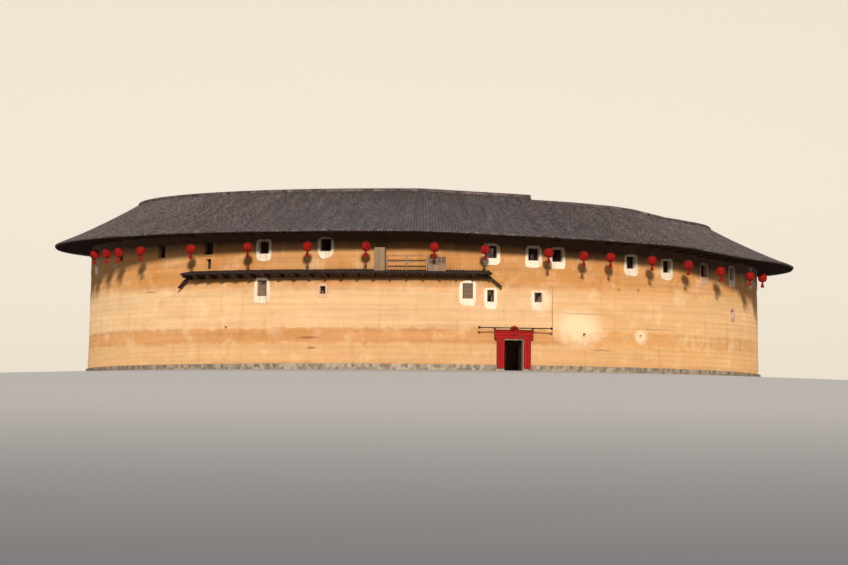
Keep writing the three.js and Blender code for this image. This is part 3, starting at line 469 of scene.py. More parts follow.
def rammed_earth():
    """Rammed earth: matt and grainy. Level bands of colour, a tone for each lift, blotches, streaks and limed
    patches, and near-black painted shade under the eave and the waist roof."""
    material, tree, shader = new_material("rammed_earth")
    place = add_node(tree, "Attribute", "Vector", {"attribute_name": "place"})
    patch, sheltered = [add_node(tree, "Attribute", "Fac", {"attribute_name": name})
                        for name in ("patch", "sheltered")]
    along, up, _ = add_node(tree, "SeparateXYZ", None, Vector=place)
    cloud = add_node(tree, "TexNoise", Vector=place, Scale=1.1, Detail=6.0, Roughness=0.65)
    grain = add_node(tree, "TexNoise", Vector=place, Scale=14.0, Detail=4.0, Roughness=0.7)
    band = add_node(tree, "Math", 0, {"operation": "ADD"}, in_0=cloud, in_1=up)
    share = add_node(tree, "MapRange", Value=band, From_Min=BAND_SPAN[0], From_Max=BAND_SPAN[1])
    ramp = add_node(tree, "ValToRGB", Fac=share)
    elements = ramp.node.color_ramp.elements
    while len(elements) < len(EARTH_BANDS):
        elements.new(1.0)
    for element, (position, colour) in zip(elements, EARTH_BANDS):
        element.position = position
        element.color = linear(colour)
    right = between(tree, band, 6.2, 8.4, EARTH_RIGHT, EARTH_UPPER)
    colour = veiled(tree, ramp, right, along, 2.5, 9.0, 0.6)
    colour = patched(tree, colour, EARTH_LOW, place, 0.16, 0.38, 0.62, 0.35, detail=5.0)
    colour = patched(tree, colour, EARTH_CREAM, place, 0.5, 0.52, 0.66, 0.45, detail=6.0, roughness=0.7)
    colour = patched(tree, colour, EARTH_ROSE, place, 0.42, 0.54, 0.68, 0.4, detail=6.0, roughness=0.7)
    colour = toned(tree, colour, drawn_out(tree, place, (0.06, 2.3, 1.0)), 0.3, 0.7, 0.87, 1.1)
    lifts, joints = add_node(tree, "TexBrick", None, {"offset": 0.37}, Vector=place, Scale=1.0,
                             Brick_Width=LIFT_LENGTH, Row_Height=LIFT, Mortar_Size=0.012, Mortar_Smooth=0.6,
                             Color1=(0.88, 0.88, 0.88, 1), Color2=(1, 1, 1, 1), Mortar=(0.8, 0.8, 0.8, 1))
    colour = veiled(tree, colour, lifts, cloud, 0.4, 0.65, 0.6, least=0.1, blend="MULTIPLY")
    streaks = drawn_out(tree, place, (1.3, 0.16, 1.0))
    colour = veiled(tree, colour, EARTH_STREAK, streaks, 0.55, 0.75, 0.3, blend="MULTIPLY")
    ragged = add_node(tree, "Math", 0, TIMES_PLUS, in_0=cloud, in_1=0.8, in_2=patch)
    colour = veiled(tree, colour, PATCH_PALE, ragged, 0.35, 0.95, 0.8)
    colour = toned(tree, colour, grain, 0.3, 0.7, 0.86, 1.08)
    # Painted shade: a near-black brown under the eave and the waist roof, its edge broken up by the cloud
    # noise.
    painted_shade_mask = add_node(tree, "Math", 0, TIMES_PLUS, in_0=cloud, in_1=0.3, in_2=sheltered)
    colour = veiled(tree, colour, EARTH_PAINTED_SHADE, painted_shade_mask, 0.2, 0.95, 0.92)
    shake = add_node(tree, "TexNoise", "Color", Vector=place, Scale=2.5, Detail=4.0)
    shaken = add_node(tree, "VectorMath", 0, TIMES_PLUS, in_0=shake, in_1=(0.16, 0.16, 0), in_2=place)
    for angle, height, half_long, half_tall, share in MARKS:
        middle = (math.radians(angle) * WALL_OUTER + 0.08, height + 0.08, 0)
        half = (half_long, half_tall, 1)
        offset = add_node(tree, "VectorMath", 0, {"operation": "SUBTRACT"}, in_0=shaken, in_1=middle)
        scaled = add_node(tree, "VectorMath", 0, {"operation": "DIVIDE"}, in_0=offset, in_1=half)
        away = add_node(tree, "VectorMath", "Value", {"operation": "LENGTH"}, in_0=scaled)
        colour = veiled(tree, colour, EARTH_CRACK, away, 1.0, 0.5, share)
    jointed = add_node(tree, "Math", 0, TIMES_PLUS, in_0=joints, in_1=-0.5, in_2=cloud)
    rough = add_node(tree, "Math", 0, TIMES_PLUS, in_0=grain, in_1=0.35, in_2=jointed)
    coat(tree, shader, colour, 0.95, rough, 0.02, 0.6, Diffuse_Roughness=0.7)
    return material


def patch_share(place):
    """How far each point lies inside a limed patch: one minus its elliptical distance from the nearest."""
    angle = np.degrees(place[:, 0] / WALL_OUTER)
    shares = [1 - np.hypot((angle - middle) / half, (place[:, 1] - height) / tall)
              for middle, height, half, tall in PATCHES]
    return np.clip(np.max(shares, axis=0), -0.6, 1) * (place[:, 2] < 0.5)


def painted_shade_share(place, is_low_part):
    """How strong the painted shade is: it falls from one to zero over a span under the eave, and likewise
    under the waist roof."""
    angle = np.degrees(place[:, 0] / WALL_OUTER)
    under_eave = np.interp(roof_top(WALL_OUTER, angle, is_low_part) - place[:, 1], PAINTED_SHADE_DEPTHS, (1, 0))
    top, full, end = WAIST_PAINTED_SHADE_HEIGHTS
    under_waist = np.interp(place[:, 1], (end, full, top, top + 0.1), (0, WAIST_PAINTED_SHADE, WAIST_PAINTED_SHADE, 0))
    return np.maximum(under_eave, under_waist * ((angle > WAIST[0]) & (angle < WAIST[1])))


def finish_piece(piece, slot, *nodes, body="house"):
    """Says what a piece rides on and which CAD nodes it stands for. The slot is not used."""
    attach(piece, body)
    if nodes:
        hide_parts(*nodes)


earth = rammed_earth()
for label, start, stop, is_low_part, nodes in SEGMENTS:
    faces, points, place = wall_segment(start + SEAM_DEGREES, stop - SEAM_DEGREES, is_low_part)
    piece = make_piece(f"earth_{label}", points, [faces], earth, place=place, patch=patch_share(place),
                       sheltered=painted_shade_share(place, is_low_part))
    finish_piece(piece, "earth", *nodes)


# Plinth of river cobbles
# Rounded river stones about 0.3 m across, set in clay in two courses, stand a little proud of the earth
# wall. Four quarters go round the house and stop at the gate.
PLINTH_OUTER = 30.12
COBBLE_SIZE = 0.3
COBBLE_RELIEF = 0.05
COBBLE_SAMPLE = 0.07
COBBLE_SET_BACK = 0.03
COBBLE_ROWS = 9
COBBLE_SHIFT = (0.35, 0.3)
COBBLE_REACH = 0.66
LEDGE = [(29.99, PLINTH_HEIGHT), (29.5, PLINTH_HEIGHT), (WALL_INNER, PLINTH_HEIGHT), (WALL_INNER, 0.0),
         (WALL_INNER + 0.1, 0.0)]
COBBLE_DARK = "#5f564b"
COBBLE_PALE = "#b3a690"
COBBLE_FLECK = "#8f8373"
CLAY_JOINT = "#a98455"


def scatter(first, second, seed):
    """A number from 0 to 1 for each pair of whole numbers: the fraction left of a large sine of their sum."""
    return np.abs(np.sin(first * 12.9898 + second * 78.233 + seed * 37.719) * 43758.5453) % 1.0


def cobbles(along, up):
    """Height and tone of the stone at a place, and how far it is from the next stone: each stone is a half
    ellipsoid round its own middle, and the middles stand in rows, shifted by half a stone and a little at
    random."""
    row, nearest, second, tone = np.floor(up / COBBLE_SIZE), 9.0, 9.0, 0.0
    for row_step in (-1, 0, 1):
        course = row + row_step
        column = np.floor(along / COBBLE_SIZE - 0.5 * (course % 2))
        for column_step in (-1, 0, 1):
            stone = column + column_step
            x = stone + 0.5 + 0.5 * (course % 2) + COBBLE_SHIFT[0] * (scatter(stone, course, 1) - 0.5)
            y = course + 0.5 + COBBLE_SHIFT[1] * (scatter(stone, course, 2) - 0.5)
            away = np.hypot(along - x * COBBLE_SIZE, up - y * COBBLE_SIZE)
            second = np.where(away < nearest, nearest, np.minimum(second, away))
            tone = np.where(away < nearest, scatter(stone, course, 3), tone)
            nearest = np.minimum(nearest, away)
    dome = np.sqrt(np.clip(1 - (nearest / (COBBLE_REACH * COBBLE_SIZE)) ** 2, 0, 1))
    return COBBLE_RELIEF * dome, tone, second - nearest


def ring_body(angles, radius, height):
    """A closed body along the ring. Its section's corners are the rows, up its outer side and back down its
    inner one, and its angles are the columns. Strips between facing corners close both ends."""
    rows, columns = np.broadcast_shapes(np.shape(radius), np.shape(height), (1, len(angles)))
    points = ring_points(np.asarray(angles)[None], radius, np.broadcast_to(height, (rows, columns)))
    row = np.arange(rows // 2 - 1)
    end = np.stack([row, row + 1, rows - 2 - row, rows - 1 - row], axis=-1) * columns
    return points.reshape(-1, 3), [grid_faces(rows, columns, wrap=True), end, end[:, ::-1] + columns - 1]


def river_cobbles():
    """River stones in clay: each stone has its own grey or brown, and yellow clay fills the joints."""
    material, tree, shader = new_material("river_cobbles_in_clay")
    place = add_node(tree, "TexCoord", "Object")
    tone, joint = [add_node(tree, "Attribute", "Fac", {"attribute_name": name}) for name in ("tone", "joint")]
    stone = between(tree, tone, 0, 1, COBBLE_DARK, COBBLE_PALE)
    fleck = patched(tree, stone, COBBLE_FLECK, place, 14, 0.35, 0.7, 0.45)
    colour = veiled(tree, fleck, CLAY_JOINT, joint, 0.05, 0.015)
    pits = add_node(tree, "TexNoise", Vector=place, Scale=30, Detail=4.0, Roughness=0.6)
    coat(tree, shader, colour, 0.85, pits, 0.006, 0.5)
    return material


def with_ledge(values):
    """The values of the face's rows, and the top row's again for each row of the ledge."""
    return np.concatenate([values, np.repeat(values[-1:], len(LEDGE), axis=0)]).ravel()


cobble_material = river_cobbles()
gate_edge = half_angle(2 * GATE_HALF, PLINTH_OUTER)
for i, label in enumerate(["front_right", "back_right", "back_left", "front_left"]):
    start = gate_edge if i == 0 else 90 * i + SEAM_DEGREES
    stop = 360 - gate_edge if i == 3 else 90 * i + 90 - SEAM_DEGREES
    angles = np.linspace(start, stop, round((stop - start) * math.radians(PLINTH_OUTER) / COBBLE_SAMPLE))
    face_height = np.linspace(0, PLINTH_HEIGHT, COBBLE_ROWS)[:, None]
    relief, tone, joint = cobbles(np.radians(angles)[None] * PLINTH_OUTER, face_height)
    ledge_radius, ledge_height = np.transpose(LEDGE)[..., None]
    radius = np.concatenate([PLINTH_OUTER - COBBLE_SET_BACK + relief, ledge_radius + 0 * angles])
    points, faces = ring_body(angles, radius, np.concatenate([face_height, ledge_height]))
    piece = make_piece(f"cobbles_{label}", points, faces, cobble_material, tone=with_ledge(tone),
                       joint=with_ledge(joint))
    finish_piece(piece, "cobble", f"plinth_{label}")


# Plastered windows
# Most windows have a white limewashed surround that hangs lower under the sill, and upright fir bars in a
# frame set back in the wall. The small ones beside the waist roof have weathered to bare earth.
PLASTER_WHITE = "#e9dac2"
PLASTER_DIRT = "#c39a70"
PLASTER_ROSE = "#cda083"
# Painted shade for the surrounds under the eave.
PLASTER_SHADE = "#5a4334"
# These windows are named by their angle and the height of their centre.
FAINT_WINDOWS = [(-30.8, 6.7), (49.1, 5.6), (39.2, 9.1)]
BARE_WINDOWS = [(-76.6, 10.2), (-63.2, 10.25), (-52.1, 10.35), (-52.1, 9.02)]
ROUND_WINDOWS = [(-30.4, 10.45)]
LATTICED_WINDOWS = [(-41.4, 6.89), (-7.4, 6.68)]
SURROUND_POINTS = 32
SURROUND_RISE = np.array([-0.4, 0.012, 0.03, 0.028, -0.03])  # over the wall's face, from the opening outwards
SQUARE_CORNERS, ROUND_CORNERS = 4.5, 2.4
DEEP_SILL, SHALLOW_SILL = 0.62, 0.35
DEEP_SILL_FROM = 0.7
SIDE_MARGIN = 0.27
TOP_MARGIN = 0.22
FAINT_MARGIN = 0.6
FAINT_SHARE, SHADE_SHARE = 0.85, 0.8
OPENING_INSET = 0.98
OUTLINE_INSET = 0.97
LIP = 0.3
FRAME_SET_BACK = 0.42
FRAME_TIMBER = 0.08
BAR_TIMBER = 0.045
BAR_SPACING = 0.15
LATTICE_SET_BACK = 0.2
LATTICE_SPACING = 0.135
LATTICE_STRIP = (0.06, 0.03)
LATTICE_UPRIGHTS = 7
CUT = 0.12  # how much of a timber's corners is cut off, as a share of its half side


def surround(angle, width, height, centre, index):
    """One surround. Its opening is the rectangle w cos t / m, h sin t / m with m the greater of |cos t| and
    |sin t|; its outline is the superellipse a |cos t| to the power 2/p, b |sin t| to the power 2/p."""
    t = np.arange(SURROUND_POINTS) * 2 * np.pi / SURROUND_POINTS
    cosine, sine = np.cos(t), np.sin(t)
    greater = np.maximum(np.abs(cosine), np.abs(sine))
    opening_x, opening_z = width / 2 * cosine / greater, centre + height / 2 * sine / greater
    power = 2 / (ROUND_CORNERS if (angle, centre) in ROUND_WINDOWS else SQUARE_CORNERS)
    half_tall = (height + TOP_MARGIN + (DEEP_SILL if height > DEEP_SILL_FROM else SHALLOW_SILL)) / 2
    middle = centre + height / 2 + TOP_MARGIN - half_tall
    ragged = 1 + 0.035 * np.sin(3 * t + index) + 0.02 * np.sin(7 * t + 2 * index)
    margin = SIDE_MARGIN * (FAINT_MARGIN if (angle, centre) in FAINT_WINDOWS else 1)
    outline_x = (width / 2 + margin) * np.sign(cosine) * np.abs(cosine) ** power * ragged
    outline_z = middle + half_tall * np.sign(sine) * np.abs(sine) ** power * ragged
    lip_x = opening_x * (1 - LIP) + outline_x * LIP
    lip_z = opening_z * (1 - LIP) + outline_z * LIP
    edge_x, edge_z = opening_x * OPENING_INSET, centre + (opening_z - centre) * OPENING_INSET
    rim_x, rim_z = outline_x * OUTLINE_INSET, middle + (outline_z - middle) * OUTLINE_INSET
    x = np.stack([edge_x, edge_x, lip_x, rim_x, outline_x], -1)
    z = np.stack([edge_z, edge_z, lip_z, rim_z, outline_z], -1)
    radius = wall_face(z) + SURROUND_RISE
    return ring_points(angle + np.degrees(np.arcsin(x / radius)), radius, z)


def limewash():
    """Lime plaster: off-white and matt, with earth washed down over it, painted shade under the eave, and a
    faint trowelled relief.
    """
    material, tree, shader = new_material("limewashed_plaster")
    place = add_node(tree, "TexCoord", "Object")
    runs = drawn_out(tree, place, (4.0, 4.0, 0.9), detail=4.0, scale=1.2)
    colour = veiled(tree, linear(PLASTER_WHITE), PLASTER_DIRT, runs, 0.5, 0.72, 0.6)
    for name, veil in (("faint", PLASTER_ROSE), ("sheltered", PLASTER_SHADE)):
        share = add_node(tree, "Attribute", "Fac", {"attribute_name": name})
        colour = add_node(tree, "Mix", 2, COLOURS, in_0=share, in_6=colour, in_7=linear(veil))
    strokes = add_node(tree, "TexNoise", Vector=place, Scale=9, Detail=4.0, Roughness=0.6)
    coat(tree, shader, colour, 0.9, strokes, 0.008, 0.5)
    return material


windows = all_windows()
plastered = [window for window in windows if (window[0], window[3]) not in BARE_WINDOWS]
places = [(window[0], window[3]) for window in plastered]
rings = np.concatenate([surround(*window, i).reshape(-1, 3) for i, window in enumerate(plastered)])
ring_size = SURROUND_POINTS * len(SURROUND_RISE)
ring_faces = grid_faces(SURROUND_POINTS, len(SURROUND_RISE), wrap=True)
ring_faces = np.concatenate([ring_faces + i * ring_size for i in range(len(plastered))])
faint = np.repeat([FAINT_SHARE * (place in FAINT_WINDOWS) for place in places], ring_size)
# Painted shade on the surrounds: strongest at the eave, gone lower down the wall.
under = roof_top(WALL_OUTER, np.repeat([angle for angle, _ in places], ring_size)) - rings[:, 2] / SCALE
piece = make_piece("window_surrounds", rings, [ring_faces], limewash(), faint=faint,
                   sheltered=np.interp(under, PAINTED_SHADE_DEPTHS, (SHADE_SHARE, 0)))
finish_piece(piece, "earth")


def beside(angle, across, radius, height):
    """Points at a radius and a height, moved across it at a right angle, towards growing angles."""
    turn = np.radians(angle)
    x = across * np.cos(turn) + radius * np.sin(turn)
    y = across * np.sin(turn) - radius * np.cos(turn)
    return SCALE * np.stack(np.broadcast_arrays(x, y, height), axis=-1)


def outwards(angle):
    """The direction from the court outwards at an angle."""
    turn = np.radians(angle)
    return np.stack([np.sin(turn), -np.cos(turn), np.zeros_like(turn)], axis=-1)


def timbers(starts, ends, facing, width, depth, cut=CUT):
    """Straight timbers from starts to ends. The section is width by depth, its depth points to facing, and
    its corners are cut off by a share of the smaller side. The grain runs along each, and each has a tone of
    its own."""
    starts, ends = np.broadcast_arrays(np.atleast_2d(starts), np.atleast_2d(ends))
    count = len(starts)
    along = ends - starts
    length = np.linalg.norm(along, axis=1, keepdims=True)
    along = along / length
    side = np.cross(along, np.broadcast_to(facing, (count, 3)))
    side = side / np.linalg.norm(side, axis=1, keepdims=True)
    out = np.cross(side, along)
    half_width = np.broadcast_to(np.asarray(width, float) / 2, (count,))[:, None]
    half_depth = np.broadcast_to(np.asarray(depth, float) / 2, (count,))[:, None]
    if cut:
        corner = cut * np.minimum(half_width, half_depth)
        wide, slim, deep, flat = half_width, half_width - corner, half_depth, half_depth - corner
        across = np.concatenate([slim, wide, wide, slim, -slim, -wide, -wide, -slim], axis=1)
        outward = np.concatenate([-deep, -flat, flat, deep, deep, flat, -flat, -deep], axis=1)
        caps = np.array([[0, 1, 6, 7], [1, 2, 5, 6], [2, 3, 4, 5]])
    else:
        across = np.concatenate([half_width, half_width, -half_width, -half_width], axis=1)
        outward = np.concatenate([-half_depth, half_depth, half_depth, -half_depth], axis=1)
        caps = np.array([[0, 1, 2, 3]])
    corners = across.shape[1]
    section = SCALE * (across[..., None] * side[:, None] + outward[..., None] * out[:, None])
    points = np.stack([starts[:, None] + section, ends[:, None] + section], axis=1)
    here = np.arange(corners)
    after = (here + 1) % corners
    sides = np.stack([here, after, after + corners, here + corners], axis=-1)
    faces = np.concatenate([sides[:, ::-1], caps, caps[:, ::-1] + corners])
    faces = (faces[None] + 2 * corners * np.arange(count)[:, None, None]).reshape(-1, 4)
    number = np.arange(count)[:, None]
    shift = 17.0 * scatter(number, 3 * number, 5)
    grain = np.empty((count, 2, corners, 3))
    grain[:, 0, :, 0] = shift
    grain[:, 1, :, 0] = shift + length / SCALE
    grain[..., 1] = (across + 31 * scatter(number, number, 6))[:, None]
    grain[..., 2] = (outward + 23 * scatter(number, number, 7))[:, None]
    tone = np.repeat(scatter(number, 2 * number, 8), 2 * corners)
    return points.reshape(-1, 3), [faces], grain.reshape(-1, 3), tone


def standing(angle, across, radius, low, high, width, depth, cut=CUT):
    """Upright timbers that face outwards, from one height to another."""
    return timbers(beside(angle, across, radius, low), beside(angle, across, radius, high), outwards(angle),
                   width, depth, cut)


def level(angle, left, right, radius, height, tall, depth, cut=CUT):
    """Level timbers that face outwards, from one side to the other."""
    return timbers(beside(angle, left, radius, height), beside(angle, right, radius, height), outwards(angle),
                   tall, depth, cut)


def reaching(angle, inner, outer, height, width, tall, across=0, cut=CUT):
    """Level timbers that reach outwards, from one radius to another."""
    return timbers(beside(angle, across, inner, height), beside(angle, across, outer, height), (0, 0, 1),
                   width, tall, cut)


def curved(angles, radius, height, width, tall):
    """A rail along the ring, in straight lengths from angle to angle."""
    line = beside(angles, 0, radius, height)
    return timbers(line[:-1], line[1:], (0, 0, 1), width, tall, cut=0)


def gathered(*parts):
    """Several bodies' points, faces, grain and tone as one."""
    offsets = np.cumsum([0] + [len(part[0]) for part in parts])
    faces = [face_set + offset for part, offset in zip(parts, offsets) for face_set in part[1]]
    points, grain, tone = [np.concatenate([part[i] for part in parts]) for i in (0, 2, 3)]
    return points, faces, grain, tone


def timber_piece(name, material, slot, nodes, *parts, body="house"):
    """One piece of many timbers, riding on its body."""
    points, faces, grain, tone = gathered(*parts)
    piece = make_piece(name, points, faces, material, grain=grain, tone=tone)
    finish_piece(piece, slot, *nodes, body=body)


def sawn_timber(name, dark, light, worn, roughness=0.8):
    """Sawn fir: fibres stretched along the grain from a dark to a light colour, each timber toned on its own,
    and patches where the surface has worn."""
    material, tree, shader = new_material(name)
    grain = add_node(tree, "Attribute", "Vector", {"attribute_name": "grain"})
    tone = add_node(tree, "Attribute", "Fac", {"attribute_name": "tone"})
    fibres = drawn_out(tree, grain, (1.1, 22.0, 22.0), detail=6.0)
    share = add_node(tree, "Math", 0, TIMES_PLUS, in_0=tone, in_1=0.35, in_2=fibres)
    colour = between(tree, share, 0.4, 0.85, dark, light)
    colour = patched(tree, colour, worn, grain, 0.9, 0.52, 0.75, 0.7)
    coat(tree, shader, colour, roughness, fibres, 0.004, 0.7)
    return material


fir = sawn_timber("oiled_fir", "#4a3120", "#86603f", "#6e5a45")
# Near-black fir, partly old weathered timber and partly painted shade: for the timbers under the eaves, the
# window bars and the gate's timbers.
weathered_shade_fir = sawn_timber("fir_weathered_and_painted_shade", "#140a07", "#33190f", "#2f211a", 0.85)
grey_fir = sawn_timber("silver_grey_fir", "#5d4c3d", "#94795f", "#7d6d5e", 0.9)

bars, lattices = [], []
for angle, width, height, centre in windows:
    low, high, half = centre - height / 2, centre + height / 2, width / 2
    if (angle, centre) in LATTICED_WINDOWS:
        radius = wall_face(centre) - LATTICE_SET_BACK
        strip_height = np.arange(low + 0.07, high, LATTICE_SPACING)
        lattices.append(level(angle, -half, half, radius, strip_height, *LATTICE_STRIP))
        across = np.linspace(-half + 0.05, half - 0.05, LATTICE_UPRIGHTS)
        lattices.append(standing(angle, across, radius - LATTICE_STRIP[1], low, high, *LATTICE_STRIP))
    radius = wall_face(centre) - FRAME_SET_BACK
    across = np.array([-half, half]) + np.array([FRAME_TIMBER, -FRAME_TIMBER]) / 2
    bars.append(standing(angle, across, radius, low, high, FRAME_TIMBER, 0.12))
    ends = np.array([low, high]) + np.array([FRAME_TIMBER, -FRAME_TIMBER]) / 2
    bars.append(level(angle, -half, half, radius, ends, FRAME_TIMBER, 0.11))
    spaces = max(3, round(width / BAR_SPACING))
    across = np.linspace(-half + FRAME_TIMBER, half - FRAME_TIMBER, spaces + 1)[1:-1]
    bars.append(standing(angle, across, radius, low, high, BAR_TIMBER, BAR_TIMBER))
timber_piece("window_bars", weathered_shade_fir, "timber", (), *bars)
timber_piece("window_lattices", grey_fir, "grey_timber", (), *lattices)


# Tiled roof
# Two slopes of unglazed clay tiles, concave pans under convex covers, lie on boards and rafters. The eave
# hangs far over the wall on cantilevered beams. Where the high part ends a board closes the step.
COURT_EAVE_RADIUS = 18.6
TILE_PROFILE = [(0.0, -0.012), (0.2, 0.0), (0.32, 0.042), (0.5, 0.062), (0.68, 0.042), (0.8, 0.0)]
TILE_LIP = 0.06
TILE_SLIP = 0.012
TILE_RISE = 0.074
TILE_BULGES = [(0.022, 5.0, 21), (0.01, 1.6, 22)]
OUTER_COLUMN_DEGREES = 0.46875
INNER_COLUMN_DEGREES = 0.6
TILE_COURSE = 0.16
TILE_COLOURS = ("#423a3b", "#7c6f6e", "#6b504a", "#56564c")  # dark, pale, brown and mossy
OUTER_RADII = [32.9, EAVE_RADIUS, EAVE_RADIUS, *np.linspace(32.8, RIDGE_RADIUS, 13)]
OUTER_FOLD = [0.085, 0.07, 0.0, *np.zeros(13)]
INNER_RADII = [*np.linspace(RIDGE_RADIUS, 18.8, 12), COURT_EAVE_RADIUS, COURT_EAVE_RADIUS, 18.7]
INNER_FOLD = [*np.zeros(12), 0.0, 0.07, 0.085]
ROOF_PARTS = [
    ("front_right", 6, 40, True), ("right", 40, 80, True), ("right_rear", 80, 120, True),
    ("back_right", 120, 154, True), ("back", 154, 207, False), ("back_left", 207, 260, False),
    ("left", 260, 313, False), ("front", 313, 366, False),
]
RIDGE_SECTION = np.array([(0.14, -0.04), (0.15, 0.08), (0.1, 0.17), (0.04, 0.22), (-0.04, 0.22), (-0.1, 0.17),
                          (-0.15, 0.08), (-0.14, -0.04)])
RIDGE_LAP = 0.014
BOARD_TOP = 0.09
BOARD_BOTTOM = 0.14
BOARD_RADII = np.concatenate([np.linspace(32.95, RIDGE_RADIUS, 7), np.linspace(RIDGE_RADIUS, 18.65, 7)[1:]])
STEP_RADII = np.array([32.95, 30.5, 28.0, RIDGE_RADIUS, 23.2, 20.9, 18.65])
STEP_BOARD_DEGREES = 0.12
# Rafters: the radii of their ends, the degrees from one to the next, and how many.
RAFTERS = [([RIDGE_RADIUS, 28.0, 30.5, 32.9], 1.0, 360), ([RIDGE_RADIUS, 23.2, 20.9, 18.75], 1.2, 300)]
LANTERN_ANGLES = [-77.9, -73.4, -69.6, -63.6, -52.4, -41.9, -32.1, -23.1, -12.9, -5.3, 4.5,
                  10.2, 14.8, 22.5, 30.1, 38.2, 47.6, 53.1]
BEAM_RADII = (29.4, 32.3)
BEAM_DEGREES = 3
BEAM_CLEARANCE = 0.6
BEAM_STRUT_RADIUS = 30.9
EAVE_BEAM, BEAM_STRUT, RAFTER = (0.13, 0.16), (0.12, 0.12), (0.09, 0.1)


def tile_slope(start, stop, low, radii, fold, column_degrees, first_column, surface=roof_top):
    """A slope of tile columns: the surface's height, plus the tile's wave over the column, plus a little
    unevenness. The rows go from one edge to the other, and fold gives how far each row is turned down below
    the surface."""
    count = round((stop - start) / column_degrees)
    across, wave = np.transpose(TILE_PROFILE)
    column = (np.arange(count)[:, None] + across[None]).ravel()
    column = np.append(column, count)
    wave = np.append(np.tile(wave, count), wave[0])
    angles = start + column * (stop - start) / count
    radii, fold = np.asarray(radii, float)[:, None], np.asarray(fold, float)[:, None]
    whole = np.floor(np.minimum(column, count - 0.5)) + first_column
    slip = TILE_SLIP * (scatter(whole, 0, 11) - 0.5)
    uneven = bulges(angles[None], radii, TILE_BULGES)
    arched = np.where(fold > TILE_LIP, 0, wave[None] + slip)
    height = surface(radii, angles[None], low) + arched - fold + uneven
    points = ring_points(angles[None], radii, height)
    away = np.abs(radii - RIDGE_RADIUS)
    tile = np.stack(np.broadcast_arrays((column + first_column)[None], away, 0 * height), axis=-1)
    shade = np.broadcast_to((wave[None] - TILE_PROFILE[0][1]) / TILE_RISE, height.shape)
    return points.reshape(-1, 3), [grid_faces(len(radii), len(angles))], tile.reshape(-1, 3), shade.ravel()


def clay_tiles(name, dark, pale, brown, mossy):
    """Unglazed clay tiles: each has its own grey, brown or mossy tone, courses overlap with a painted shadow
    line along each course's edge, and the pans are darker towards their bottoms."""
    material, tree, shader = new_material(name)
    tile = add_node(tree, "Attribute", "Vector", {"attribute_name": "tile"})
    shade = add_node(tree, "Attribute", "Fac", {"attribute_name": "shade"})
    across, away, _ = add_node(tree, "SeparateXYZ", None, Vector=tile)
    column = add_node(tree, "Math", 0, {"operation": "FLOOR"}, in_0=across)
    jog = add_node(tree, "TexWhiteNoise", "Value", {"noise_dimensions": "1D"}, W=column)
    course = add_node(tree, "Math", 0, TIMES_PLUS, in_0=away, in_1=1 / TILE_COURSE, in_2=jog)
    lap = add_node(tree, "Math", 0, {"operation": "FRACT"}, in_0=course)
    row = add_node(tree, "Math", 0, {"operation": "FLOOR"}, in_0=course)
    cell = add_node(tree, "CombineXYZ", X=column, Y=row)
    draw = add_node(tree, "TexWhiteNoise", "Color", {"noise_dimensions": "3D"}, Vector=cell)
    paler, browner, _ = add_node(tree, "SeparateColor", None, Color=draw)
    colour = add_node(tree, "Mix", 2, COLOURS, in_0=paler, in_6=linear(dark), in_7=linear(pale))
    colour = veiled(tree, colour, brown, browner, 0.72, 0.78, 0.7)
    place = add_node(tree, "TexCoord", "Object")
    colour = patched(tree, colour, mossy, place, 0.9, 0.52, 0.7, 0.55, detail=6.0)
    colour = toned(tree, colour, drawn_out(tree, tile, (0.35, 0.3, 1)), 0.4, 0.65, 0.72, 1.12)
    # Darker towards the bottom of each pan.
    colour = toned(tree, colour, shade, 0.0, 0.6, 0.62, 1.0)
    # Painted shadow: a dark line along the edge of each course.
    colour = toned(tree, colour, lap, 0.82, 1.0, 1.0, 0.6)
    pores = add_node(tree, "TexNoise", Vector=place, Scale=22.0, Detail=4.0, Roughness=0.6)
    relief = add_node(tree, "Math", 0, TIMES_PLUS, in_0=pores, in_1=0.3, in_2=lap)
    coat(tree, shader, colour, 0.9, relief, 0.02, 0.8)
    return material


def tiled_piece(name, material, nodes, *parts):
    """One piece of tiles, with each point's column and course and its place in the tile's wave."""
    points, faces, tile, shade = gathered(*parts)
    finish_piece(make_piece(name, points, faces, material, tile=tile, shade=shade), "roof_tile", *nodes)


def board(angles, radii, heights, axes, stretch, tone):
    """A board along the ring, its fibres along the first of its axes and stretched along each."""
    points, faces = ring_body(angles, radii + 0 * angles, heights)
    return points, faces, points[:, axes] * stretch, np.full(len(points), tone)


tiles = clay_tiles("unglazed_clay_tiles", *TILE_COLOURS)
for i, (label, start, stop, low) in enumerate(ROOF_PARTS):
    outer = tile_slope(start, stop, low, OUTER_RADII, OUTER_FOLD, OUTER_COLUMN_DEGREES, 200 * i)
    inner = tile_slope(start, stop, low, INNER_RADII, INNER_FOLD, INNER_COLUMN_DEGREES, 5000 + 200 * i)
    tiled_piece(f"tiles_{label}", tiles, [f"roof_{label}"], outer, inner)

